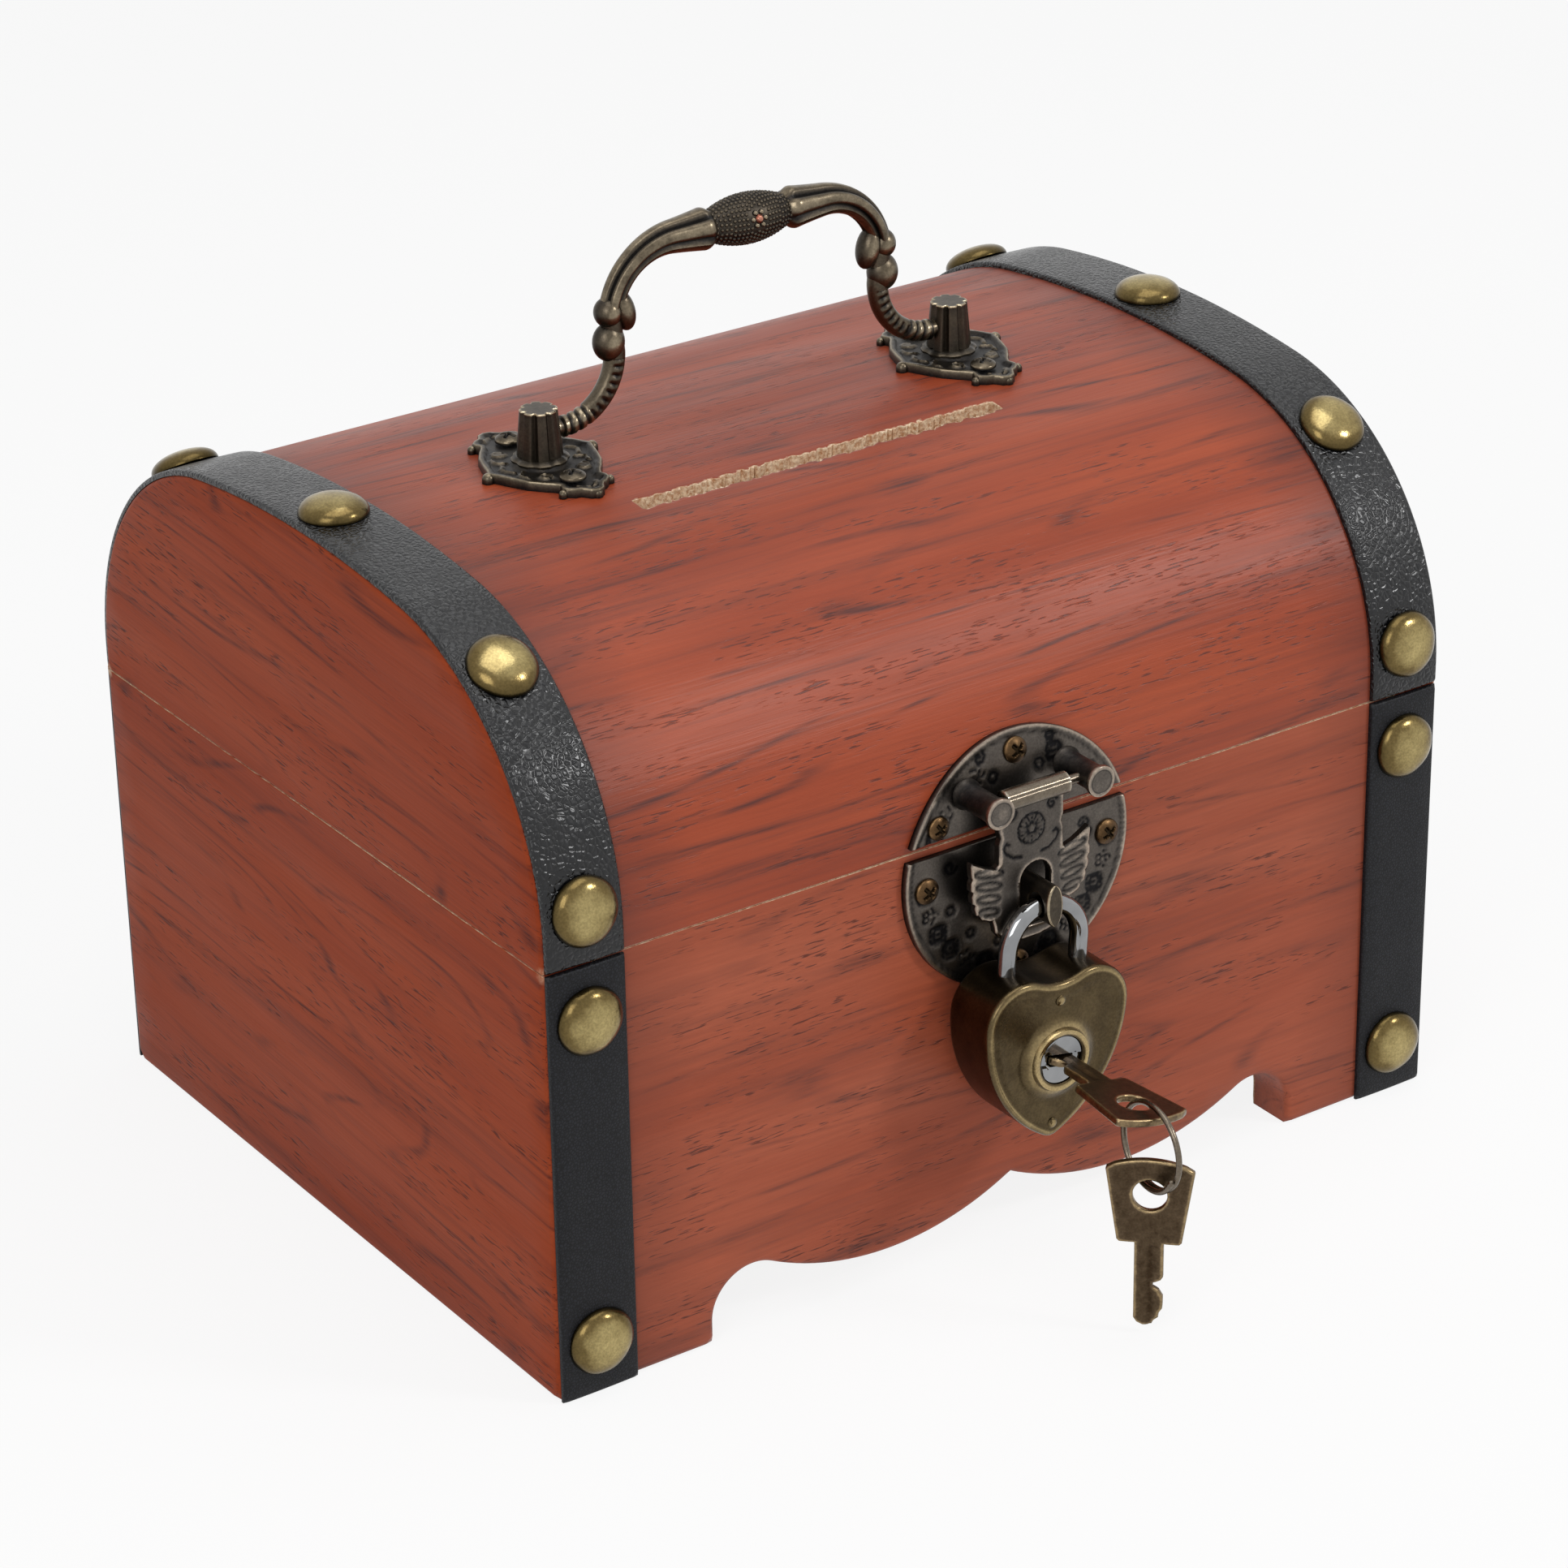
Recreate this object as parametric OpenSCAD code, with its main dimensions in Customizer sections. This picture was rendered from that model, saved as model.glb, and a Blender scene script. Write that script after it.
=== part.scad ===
// Small treasure-chest donation box: wooden chest with a domed lid, leather straps,
// cast carrying handle, coin slot, butterfly hasp and heart padlock.
// Millimetres. X along the chest, Y from front (-) to back (+), Z up from the feet.
// Origin: middle of the chest's footprint, on the surface it stands on.

/* [Chest] */
// Length of the chest over its end boards
chest_l = 170; // [150:1:220]
// Depth of the chest over its front and back boards
chest_d = 133; // [125:1:170]
// Height of the box from its feet to the seam
body_h = 72.5; // [72:0.5:100]
// Thickness of the front, back and end boards
board_t = 9; // [7:0.5:10]
// Thickness of the floor board
floor_t = 5; // [4:0.5:7]
// Height of the floor board's underside above the feet
floor_z = 16; // [14:0.5:22]
// Gap between the box and the closed lid
seam_gap = 0.3; // [0.2:0.1:0.6]

/* [Skirt] */
// Distance from the middle of the chest to the centre of a foot arch
arch_x = 49.3; // [46:0.5:54]
// Radius of a foot arch
arch_r = 7.5; // [6:0.5:8]
// Height of a foot arch's centre
arch_z = 3.8; // [3:0.2:5]
// Distance from the middle of the chest to a lobe's lowest point
lobe_x = 23; // [20:0.5:26]
// Height of a lobe's lowest point
lobe_low = 4.8; // [4.2:0.1:5.5]

/* [Lid] */
// Height of the lid above the seam
lid_rise = 47.2; // [46.8:0.1:52]
// Height of the lid's upright edge above the seam
lip_h = 3.5; // [2.5:0.5:4]
// Radius of the lid's round shoulders
shoulder_r = 42; // [40:0.5:43]
// Thickness of the curved lid board
lid_t = 7; // [5:0.5:8]
// Length of the coin slot
slot_l = 68; // [50:1:75]
// Width of the coin slot
slot_w = 3; // [2.6:0.1:4]
// Distance of the coin slot in front of the lid's middle line
slot_y = 21; // [19:0.5:25]

/* [Straps and tacks] */
// Width of the leather straps
strap_w = 13.4; // [12:0.2:16]
// Thickness of the leather straps
strap_t = 1; // [0.8:0.1:1.4]
// Distance of the straps from the ends of the chest
strap_inset = 0.4; // [0.2:0.1:1]
// Gap between the strap pieces at the seam
strap_gap = 0.4; // [0.2:0.1:1]
// Diameter of the domed tack heads
tack_d = 11; // [9:0.5:12]
// Height of the domed tack heads
tack_h = 2.7; // [2:0.1:3.5]
// Diameter of the tack nails
nail_d = 1.6; // [1.2:0.1:2]
// Length of the tack nails
nail_l = 8; // [6:0.5:10]
// Height of the lower row of body tacks
tack_low_z = 9; // [8:0.5:12]
// Height of the upper row of body tacks
tack_high_z = 63.5; // [55:0.5:66]
// Slope of the lid's edge tacks above level
tack_edge_a = 7; // [7:0.5:12]
// Slope of the lid's shoulder tacks above level
tack_shoulder_a = 58; // [45:1:70]

/* [Hinges] */
// Distance of the hinges' middles from the chest's ends
hinge_inset = 40; // [30:1:50]
// Length of a hinge
hinge_l = 22; // [18:1:26]
// Radius of the hinge knuckles
knuckle_r = 2.2; // [2:0.1:2.6]
// Radius of the hinge pins
hinge_pin_r = 1; // [0.8:0.05:1.2]
// Thickness of the hinge leaves
leaf_t = 1; // [0.8:0.1:1.2]
// Height of a hinge leaf above or below the hinge pin
leaf_h = 11; // [9:0.5:12]
// Clearance between a knuckle and what it turns past
knuckle_gap = 0.3; // [0.3:0.05:0.5]

/* [Carrying handle] */
// Distance of the handle and the coin slot to the left of the chest's middle
handle_off = 3; // [0:0.5:5]
// Distance of the handle in front of the lid's middle line
handle_y = 1.3; // [0:0.1:2]
// Distance between the handle posts, centre to centre
post_span = 78; // [74:1:84]
// Height of the handle posts above the lid
post_h = 9.6; // [9:0.2:12]
// Radius of a handle post at its foot
post_r1 = 3.8; // [3.6:0.1:4.2]
// Radius of a handle post at its top
post_r2 = 2.95; // [2.8:0.05:3.2]
// Number of flutes on a handle post
flutes = 8; // [6:1:10]
// Length of a handle plate from front to back
mount_l = 30; // [28:0.5:34]
// Width of a handle plate along the chest
mount_w = 20; // [19:0.5:24]
// Thickness of a handle plate
mount_t = 1.5; // [1.2:0.1:2]
// Distance of the plate screws from the post
mount_screw = 9.3; // [9:0.1:10]
// Height of the handle's pivots above the lid
pivot_h = 5.6; // [5:0.1:6]
// Radius of the handle's pivot pins
pivot_r = 1.3; // [1:0.05:1.4]
// Height of the handle's grip above its pivots
bail_h = 26.3; // [25:0.1:30]
// Radius of the handle's lower arms
arm_r = 1.75; // [1.6:0.05:1.9]
// Radius of the handle's upper arms
upper_arm_r = 2.1; // [2:0.05:2.3]
// Radius of the sweep of the lower arms
lower_sweep = 10; // [9:0.5:10.5]
// Radius of the sweep of the upper arms
upper_sweep = 11.5; // [10:0.5:12]
// Largest radius of the grip bead
bead_r = 4.4; // [4:0.1:4.8]
// Length of the grip bead
bead_l = 17; // [15:0.5:18]
// Radius of the flared ends that hold the bead
flare_r = 3.1; // [2.8:0.1:3.4]

/* [Latch] */
// Radius of the round latch plate
latch_r = 21.2; // [20.5:0.1:23]
// Thickness of the latch plates
latch_t = 1.2; // [1:0.1:1.5]
// Distance of the latch plate's centre below the seam
latch_drop = 6; // [5:0.5:7]
// Gap between the two halves of the latch plate
latch_gap = 2.2; // [1.8:0.1:3]
// Height of the hasp pin above the seam
hasp_pin_z = 7.5; // [7:0.1:8.5]
// Distance of the hasp pin in front of the box
hasp_pin_y = 6.1; // [6:0.1:6.6]
// Radius of the hasp pin
hasp_pin_r = 0.8; // [0.7:0.05:0.9]
// Radius of the pillars that hold the hasp pin
pillar_r = 2.1; // [1.9:0.05:2.2]
// Distance between the pillars, centre to centre
pillar_span = 19; // [18.6:0.2:20]
// Length of the pillars in front of the box
pillar_l = 9.6; // [9:0.1:10]

/* [Hasp] */
// Radius of the hasp's barrel
barrel_r = 1.75; // [1.6:0.05:1.9]
// Width of the hasp's strip and barrel
hasp_w = 12.2; // [11:0.2:12.6]
// Thickness of the hasp
hasp_t = 1.4; // [1.2:0.1:1.5]
// Distance of the hasp to the left of the latch's middle
hasp_off = 0.8; // [0:0.1:1]
// Width of the hasp across its wings
wing_w = 22; // [20:0.5:23]
// Width of the staple hole in the hasp
hasp_hole_w = 5.6; // [5.2:0.1:6]
// Height of the top of the staple hole above the staple's middle
hasp_hole_up = 5.7; // [5:0.1:6]
// Depth of the bottom of the staple hole below the staple's middle
hasp_hole_down = 4.8; // [4.6:0.1:5]

/* [Staple and shackle] */
// Distance of the staple's middle below the seam
staple_z = 10.4; // [10:0.1:10.6]
// Length of the staple in front of the box
staple_l = 10.7; // [10.5:0.1:12]
// Thickness of the staple along the chest
staple_w = 3; // [2.6:0.1:3.1]
// Height of the staple
staple_h = 7; // [6.6:0.1:7.2]
// Radius of the shackle hole in the staple
eye_r = 2; // [1.95:0.05:2.1]
// Distance of the shackle hole in front of the box
eye_y = 7.7; // [7.6:0.1:7.9]
// Depth of the shackle hole below the staple's middle
eye_drop = 0.5; // [0.4:0.1:0.9]
// Radius of the shackle's wire
shackle_r = 1.5; // [1.4:0.05:1.55]
// Distance of the shackle's legs from its middle
shackle_half = 6.85; // [6.7:0.05:7]
// Straight length of the shackle above the padlock
shackle_up = 3.3; // [3:0.1:3.6]
// Depth of the long leg in the padlock
long_leg = 17; // [14:0.5:18]
// Depth of the short leg in the padlock
short_leg = 5.5; // [5:0.5:6.5]

/* [Padlock] */
// Thickness of the padlock
lock_t = 10.4; // [9:0.1:10.6]
// Slant at which the padlock hangs
lock_slant = 4; // [0:0.5:5]
// Distance of the padlock's lobes from its middle
lobe_off = 6.5; // [6.3:0.1:6.8]
// Radius of the padlock's lobes
heart_r = 7; // [6.8:0.1:7.3]
// Height of the lobes' centres above the keyhole
heart_z = 6.8; // [6.6:0.1:7]
// Depth of the padlock's point below the keyhole
tip_z = 13.8; // [13:0.1:15]
// Radius of the padlock's point
tip_r = 2.5; // [2:0.1:3]
// Radius of the dip between the lobes
dip_r = 10; // [8:0.5:11]
// Step of the padlock's front rim
rim_step = 0.6; // [0.4:0.1:0.8]
// Radius of the lock cylinder
cyl_r = 4; // [3.8:0.05:4.1]
// Wall of the collar round the lock cylinder
collar_wall = 1.2; // [1:0.1:1.4]
// Height of the collar round the lock cylinder
collar_h = 1.5; // [1.2:0.1:1.8]
// Length of the lock cylinder behind the padlock's face
cyl_l = 7; // [6:0.5:7.5]
// Radius of the padlock's rivets
rivet_r = 0.9; // [0.7:0.1:1.1]

/* [Keys] */
// Slant of the key in the lock beyond the padlock's own
key_slant = 7; // [0:1:10]
// Thickness of the keys
key_t = 1.2; // [1:0.1:1.4]
// Width of a key's blade
blade_w = 4.5; // [4:0.1:4.8]
// Length of a key's blade
blade_l = 14.5; // [13:0.5:14.5]
// Width of a key's bow at its outer end
bow_w = 13.6; // [12.5:0.2:15]
// Width of a key's bow at its shoulders
bow_w2 = 10; // [9:0.2:11]
// Length of a key's bow
bow_l = 14.6; // [13.5:0.2:15.5]
// Radius of the hole in a key's bow
key_hole_r = 2.4; // [2.3:0.05:2.6]
// Distance of that hole from the bow's outer end
key_hole_in = 6.2; // [6:0.1:6.4]
// Gap between the bow's shoulders and the padlock's collar
bow_gap = 9; // [8:0.5:9.5]
// Radius of the key ring
ring_r = 7; // [6.8:0.1:7.4]
// Radius of the key ring's wire
ring_wire = 0.6; // [0.5:0.05:0.65]
// Height of the key ring's top above the middle of the key
ring_up = 2; // [1.9:0.05:2.2]
// Slack of the key ring in a key's hole
ring_slack = 0.45; // [0.4:0.05:0.6]
// Turn of the spare key about the plumb line
spare_turn = 45; // [35:1:50]

/* [Fits] */
// Clearance between a pin and its bore
fit = 0.05; // [0.03:0.01:0.08]
// Clearance between parts that only pass each other
pass_gap = 0.3; // [0.3:0.05:0.4]

/* [Hidden] */
$fn = 48;

half_l = chest_l / 2;
half_d = chest_d / 2;
over = 1;
seam_lid_z = body_h + seam_gap;
inner_l = chest_l - 2 * board_t;

// The lid's outline: a flat crown that runs into two round shoulders
shoulder_y = half_d - shoulder_r;
crown_rise = lid_rise - lip_h;
crown_r = (shoulder_y * shoulder_y + crown_rise * crown_rise - shoulder_r * shoulder_r)
    / (2 * (crown_rise - shoulder_r));
crown_z = body_h + lid_rise - crown_r;
shoulder_z = body_h + lip_h;
tangent_a = atan((shoulder_z - crown_z) / shoulder_y);
crown_top = body_h + lid_rise;

// The skirt's lobe runs into the foot arch without a corner
lobe_step = lobe_low - arch_z;
lobe_r = (pow(arch_x - lobe_x, 2) + lobe_step * lobe_step - arch_r * arch_r)
    / (2 * (arch_r - lobe_step));
join_a = atan2(lobe_low + lobe_r - arch_z, lobe_x - arch_x);
cusp_a = 270 - asin(lobe_x / lobe_r);

strap_x = half_l - strap_inset - strap_w / 2;
hinge_x = half_l - hinge_inset;
hinge_pin_y = half_d + knuckle_r + knuckle_gap;
knuckle_l = hinge_l / 3;

handle_x = -handle_off;
pivot_z = crown_top + pivot_h;
post_half = post_span / 2;
screw_head_r = 2.1;
screw_head_h = 1;
screw_r = 0.9;
screw_l = 5;
bail_leg_x = post_half - post_r1 - pass_gap - lower_sweep;

slot_front = -slot_y - slot_w / 2;
slot_back = -slot_y + slot_w / 2;

latch_z = body_h - latch_drop;
barrel_y = -half_d - hasp_pin_y;
barrel_z = body_h + hasp_pin_z;
staple_mid = body_h - staple_z;
eye_z = staple_mid - eye_drop;
shackle_y = -half_d - eye_y;
wire_lift = eye_r - shackle_r - pass_gap;
arc_z = eye_z - wire_lift - shackle_half;
lobe_top = heart_z + heart_r;
key_z = arc_z - shackle_up - lobe_top;
lock_face = -lock_t / 2;

// Key ring: it hangs from the strip between the bow's hole and its outer end
bow_start = lock_face - collar_h - bow_gap;
bow_end = bow_start - bow_l;
strip_mid = bow_end + (key_hole_in - key_hole_r) / 2;
ring_y = shackle_y + strip_mid;
turn_x = sin(lock_slant) * (key_z - arc_z);
key_axis_z = arc_z + cos(lock_slant) * (key_z - arc_z);
ring_z = key_axis_z + ring_up - ring_r;
ring_bottom = ring_z - ring_r;

function arc(cx, cy, r, a0, a1, n) =
    [for (i = [0:n]) let(a = a0 + (a1 - a0) * i / n) [cx + r * cos(a), cy + r * sin(a)]];
function flip(p) = [for (i = [len(p) - 1:-1:0]) [-p[i][0], p[i][1]]];

module along_x(len) {
    rotate([90, 0, 90]) linear_extrude(len, center = true) children();
}
module along_y(y_front, len) {
    translate([0, y_front + len, 0]) rotate([90, 0, 0]) linear_extrude(len) children();
}

// ---- outlines ----
module lid_outline(grow, base) {
    half = concat(
        [[half_d + grow, base]],
        arc(shoulder_y, shoulder_z, shoulder_r + grow, 0, tangent_a, 18),
        arc(0, crown_z, crown_r + grow, tangent_a + (90 - tangent_a) / 4, 90, 3)
    );
    polygon(concat(half, flip([for (i = [0:len(half) - 2]) half[i]])));
}
module skirt_cut() {
    half = concat(
        [[arch_x + arch_r, -over]],
        arc(arch_x, arch_z, arch_r, 0, join_a, 12),
        arc(lobe_x, lobe_low + lobe_r, lobe_r, join_a + 180, cusp_a, 14)
    );
    polygon(concat(half, flip([for (i = [0:len(half) - 2]) half[i]])));
}
module heart_outline(grow) {
    side_c = ((tip_z + heart_z - tip_r) * (tip_z + heart_z - tip_r)
        - pow(lobe_off + heart_r - tip_r, 2)) / (2 * (lobe_off + heart_r - tip_r));
    side_r = side_c + lobe_off + heart_r;
    tip_a = atan2(-(tip_z + heart_z - tip_r), side_c);
    dip_z = heart_z + sqrt(pow(heart_r + dip_r, 2) - lobe_off * lobe_off);
    dip_a = atan2(dip_z - heart_z, -lobe_off);
    half = concat(
        arc(0, tip_r - tip_z, tip_r + grow, -90, tip_a, 5),
        arc(-side_c, heart_z, side_r + grow, tip_a, 0, 10),
        arc(lobe_off, heart_z, heart_r + grow, 9, dip_a, 11),
        arc(0, dip_z, dip_r - grow, dip_a - 180, -90, 4)
    );
    inner = [for (i = [1:len(half) - 2]) half[i]];
    polygon(concat(half, flip(inner)));
}
// Edge of a handle plate from a side corner to its point, as shares of the half width
// and half length: it bulges, pinches in beside the screw and swells again
mount_edge = [[1, 0], [0.78, 0.34], [0.46, 0.63], [0.46, 0.76], [0.22, 0.87], [0, 1]];
module mount_outline() {
    n = len(mount_edge) - 1;
    quarter = [for (p = mount_edge) [p[0] * mount_w / 2, p[1] * mount_l / 2]];
    half = concat(quarter, [for (i = [n - 1:-1:1]) [-quarter[i][0], quarter[i][1]]]);
    polygon(concat(half, [for (p = half) [-p[0], -p[1]]]));
}

// ---- places ----
module on_front(x, z, grow) {
    translate([x, -half_d - grow, z]) rotate([90, 0, 0]) children();
}
module on_back(x, z, grow) {
    translate([x, half_d + grow, z]) rotate([-90, 0, 0]) children();
}
module on_shoulder(x, a, side, grow) {
    translate([x, side * (shoulder_y + (shoulder_r + grow) * cos(a)),
        shoulder_z + (shoulder_r + grow) * sin(a)]) rotate([-side * (90 - a), 0, 0]) children();
}
module lock_place() {
    translate([0, shackle_y, arc_z]) rotate([0, lock_slant, 0]) children();
}
module keyhole_place(turn) {
    lock_place() translate([0, 0, key_z - arc_z]) rotate([0, turn, 0]) children();
}

// ---- fasteners ----
module tack() {
    ball_r = (tack_d * tack_d / 4 + tack_h * tack_h) / (2 * tack_h);
    intersection() {
        translate([0, 0, tack_h - ball_r]) sphere(r = ball_r);
        cylinder(d = tack_d + over, h = tack_h + over);
    }
    translate([0, 0, -nail_l]) cylinder(d = nail_d, h = nail_l + tack_h / 2);
}
module screw(head_r = screw_head_r) {
    ball_r = (head_r * head_r + screw_head_h * screw_head_h) / (2 * screw_head_h);
    intersection() {
        translate([0, 0, screw_head_h - ball_r]) sphere(r = ball_r);
        cylinder(r = head_r + over, h = screw_head_h + over);
    }
    translate([0, 0, -screw_l]) cylinder(r = screw_r, h = screw_l + screw_head_h / 2);
}
module screw_hole(deep) {
    translate([0, 0, -deep - over]) cylinder(r = screw_r + pass_gap / 2, h = deep + 2 * over);
}

// ---- wooden box ----
module long_board(y_front) {
    along_y(y_front, board_t) difference() {
        translate([-inner_l / 2, 0]) square([inner_l, body_h]);
        skirt_cut();
    }
}
module front_board() {
    color("#98503a") long_board(-half_d);
}
module back_board() {
    color("#98503a") long_board(half_d - board_t);
}
module end_board(side) {
    color("#8a4530") translate([side * (half_l - board_t / 2), 0, body_h / 2])
        cube([board_t, chest_d, body_h], center = true);
}
module floor_board() {
    color("#7d4a36") translate([-inner_l / 2, board_t - half_d, floor_z])
        cube([inner_l, chest_d - 2 * board_t, floor_t]);
}

// ---- straps and tacks ----
module body_strap(side, face) {
    color("#2b2b2f") translate([side * strap_x - strap_w / 2, face > 0 ? half_d : -half_d - strap_t, 0])
        cube([strap_w, strap_t, body_h - strap_gap / 2]);
}
module body_tacks() {
    color("#a8925a") for (side = [-1, 1], z = [tack_low_z, tack_high_z]) {
        on_front(side * strap_x, z, strap_t) tack();
        on_back(side * strap_x, z, strap_t) tack();
    }
}
module lid_strap(side) {
    color("#2b2b2f") translate([side * strap_x, 0, 0]) along_x(strap_w) difference() {
        lid_outline(strap_t, body_h + strap_gap / 2 + seam_gap);
        lid_outline(0, body_h - over);
    }
}
module lid_tacks() {
    color("#a8925a") for (side = [-1, 1]) {
        for (a = [tack_edge_a, tack_shoulder_a], face = [-1, 1])
            on_shoulder(side * strap_x, a, face, strap_t) tack();
        translate([side * strap_x, 0, crown_top + strap_t]) tack();
    }
}

// ---- wooden lid ----
module lid_shell(y_from, y_to) {
    color("#a05a42") along_x(inner_l) intersection() {
        difference() {
            lid_outline(0, seam_lid_z);
            lid_outline(-lid_t, body_h - over);
        }
        translate([y_from, 0]) square([y_to - y_from, 2 * crown_top]);
    }
}
module slot_end(side) {
    x_slot = handle_x + side * slot_l / 2;
    color("#a05a42") intersection() {
        lid_shell(slot_front, slot_back);
        translate([min(x_slot, side * half_l), -half_d, 0])
            cube([abs(side * half_l - x_slot), chest_d, 2 * crown_top]);
    }
}
module lid_end(side) {
    color("#8a4530") translate([side * (half_l - board_t / 2), 0, 0])
        along_x(board_t) lid_outline(0, seam_lid_z);
}

// ---- hinges at the back ----
module knuckle(x, len) {
    translate([x - len / 2, hinge_pin_y, body_h]) rotate([0, 90, 0]) cylinder(r = knuckle_r, h = len);
}
module hinge_bore(x) {
    translate([x - hinge_l, hinge_pin_y, body_h]) rotate([0, 90, 0])
        cylinder(r = hinge_pin_r + fit, h = 2 * hinge_l);
}
module knuckle_room(x, len) {
    translate([x - len / 2 - pass_gap, hinge_pin_y, body_h]) rotate([0, 90, 0])
        cylinder(r = knuckle_r + knuckle_gap, h = len + 2 * pass_gap);
}
module body_leaf(side) {
    x = side * hinge_x;
    color("#a8925a") difference() {
        union() {
            translate([x - hinge_l / 2, half_d, body_h - leaf_h]) cube([hinge_l, leaf_t, leaf_h]);
            for (s = [-1, 1]) knuckle(x + s * knuckle_l, knuckle_l);
        }
        hinge_bore(x);
        knuckle_room(x, knuckle_l);
        for (s = [-1, 1]) on_back(x + s * hinge_l / 4, body_h - leaf_h / 2 - 1, leaf_t) screw_hole(leaf_t);
    }
}
module lid_leaf(side) {
    x = side * hinge_x;
    color("#a8925a") difference() {
        union() {
            translate([x, 0, 0]) along_x(hinge_l) difference() {
                intersection() {
                    lid_outline(leaf_t, seam_lid_z);
                    translate([0, seam_lid_z]) square([chest_d, leaf_h - seam_gap]);
                }
                lid_outline(0, body_h - over);
            }
            knuckle(x, knuckle_l - 2 * pass_gap);
        }
        hinge_bore(x);
        for (s = [-1, 1]) knuckle_room(x + s * knuckle_l, knuckle_l);
        for (s = [-1, 1]) on_shoulder(x + s * hinge_l / 4, leaf_screw_a, 1, leaf_t) screw_hole(leaf_t);
    }
}
leaf_screw_a = asin((leaf_h / 2 + 1 - lip_h) / shoulder_r);
module hinge_pins() {
    color("#8c8c90") for (s = [-1, 1])
        translate([s * hinge_x - hinge_l / 2, hinge_pin_y, body_h]) rotate([0, 90, 0])
            cylinder(r = hinge_pin_r, h = hinge_l);
}
module hinge_body_screws() {
    color("#a8925a") for (s = [-1, 1], t = [-1, 1])
        on_back(s * hinge_x + t * hinge_l / 4, body_h - leaf_h / 2 - 1, leaf_t) screw();
}
module hinge_lid_screws() {
    color("#a8925a") for (s = [-1, 1], t = [-1, 1])
        on_shoulder(s * hinge_x + t * hinge_l / 4, leaf_screw_a, 1, leaf_t) screw();
}

// ---- carrying handle ----
module handle_mount(side) {
    x = handle_x + side * post_half;
    color("#5f5546") difference() {
        union() {
            translate([x, -handle_y, crown_top - mount_t]) linear_extrude(2 * mount_t) mount_outline();
            for (s = [-1, 1]) {
                translate([x + s * mount_w / 2, -handle_y, crown_top - mount_t]) cylinder(r = 1.1, h = 2 * mount_t);
                translate([x, s * mount_l / 2 - handle_y, crown_top - mount_t]) cylinder(r = 1.1, h = 2 * mount_t);
            }
            translate([x, -handle_y, crown_top]) post();
        }
        along_x(2 * chest_l) lid_outline(0, body_h - over);
        translate([x, -handle_y, pivot_z]) rotate([0, -side * 90, 0])
            cylinder(r = pivot_r + fit, h = 2 * post_r1);
        for (s = [-1, 1]) translate([x, s * mount_screw - handle_y, crown_top + mount_t]) screw_hole(3 * mount_t);
    }
}
module post() {
    difference() {
        cylinder(r1 = post_r1, r2 = post_r2, h = post_h);
        slope = atan((post_r1 - post_r2) / post_h);
        for (i = [0:flutes - 1]) rotate([0, 0, (i + 0.5) * 360 / flutes])
            translate([post_r1 + flute_r * 0.55, 0, mount_t + 0.6]) rotate([0, -slope, 0])
                cylinder(r = flute_r, h = 2 * post_h);
    }
}
flute_r = 0.9;
module handle_screws() {
    color("#5f5546") for (side = [-1, 1], s = [-1, 1])
        translate([handle_x + side * post_half, s * mount_screw - handle_y, crown_top + mount_t]) screw();
}
module bail_arc(r, sweep, a0, a1) {
    rotate([90, 0, 0]) rotate([0, 0, a0]) rotate_extrude(angle = a1 - a0)
        translate([sweep, 0]) circle(r = r);
}
module bail_half() {
    leg_x = bail_leg_x;
    upper_x = leg_x + 0.6 - upper_sweep;
    upper_z = bail_h - upper_sweep;
    // pivot pin, with a collar's width of play beside the post
    translate([post_half - post_r1 - pass_gap, 0, 0]) rotate([0, 90, 0])
        cylinder(r = pivot_r, h = post_r1 - pivot_in);
    // lower arm sweeps up from the pivot, then stands upright
    translate([leg_x + lower_sweep, 0, lower_sweep]) bail_arc(arm_r, lower_sweep, 180, 270);
    translate([leg_x, 0, lower_sweep]) cylinder(r = arm_r, h = upper_z - lower_sweep + 2);
    // paired scrolls where the arms meet
    for (p = [[0.9, 0.3], [-1.9, 1.2], [0.7, 3.9]])
        translate([leg_x + p[0], 0, upper_z - 2.4 + p[1]]) sphere(r = 2.35);
    // upper arm curves in to the grip
    translate([upper_x, 0, upper_z]) bail_arc(upper_arm_r, upper_sweep, 12, 90);
    // flared socket
    translate([bead_l / 2 - 1, 0, bail_h]) rotate([0, 90, 0])
        cylinder(r1 = flare_r, r2 = upper_arm_r, h = upper_x - bead_l / 2 + 3);
    translate([bead_l / 2 - 1, 0, bail_h]) sphere(r = flare_r);
}
pivot_in = 1.2;
module handle_bail() {
    color("#6b6050") translate([handle_x, -handle_y, pivot_z]) {
        bail_half();
        mirror([1, 0, 0]) bail_half();
        translate([-bead_l / 2, 0, bail_h]) rotate([0, 90, 0]) rotate_extrude()
            polygon(concat([[0, 0]], [for (i = [0:12]) let(u = 2 * i / 12 - 1)
                [bead_r * (1 - 0.42 * u * u), bead_l * i / 12]], [[0, bead_l]]));
    }
}

// ---- latch ----
module latch_disc(front, len) {
    translate([0, front, latch_z]) rotate([90, 0, 0]) cylinder(r = latch_r, h = len, $fn = 96);
}
module latch_plate_lower() {
    color("#4d4a48") difference() {
        latch_disc(-half_d, latch_t);
        translate([-latch_r - over, -half_d - latch_t - over, body_h - latch_gap / 2])
            cube([2 * latch_r + 2 * over, latch_t + 2 * over, 2 * latch_r]);
        for (p = lower_screws) on_front(p[0], latch_z + p[1], latch_t) screw_hole(latch_t);
    }
}
lower_screws = [[-17.2, -0.5], [17.2, -0.5], [0, -17.8]];
module latch_screws_lower() {
    color("#9a8250") for (p = lower_screws) on_front(p[0], latch_z + p[1], latch_t) screw();
}
upper_side_x = 15;
upper_side_a = max(0, asin((2.9 - lip_h + seam_gap) / shoulder_r));
upper_top_a = asin((latch_r - latch_drop - 3.4 - lip_h) / shoulder_r);
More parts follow.
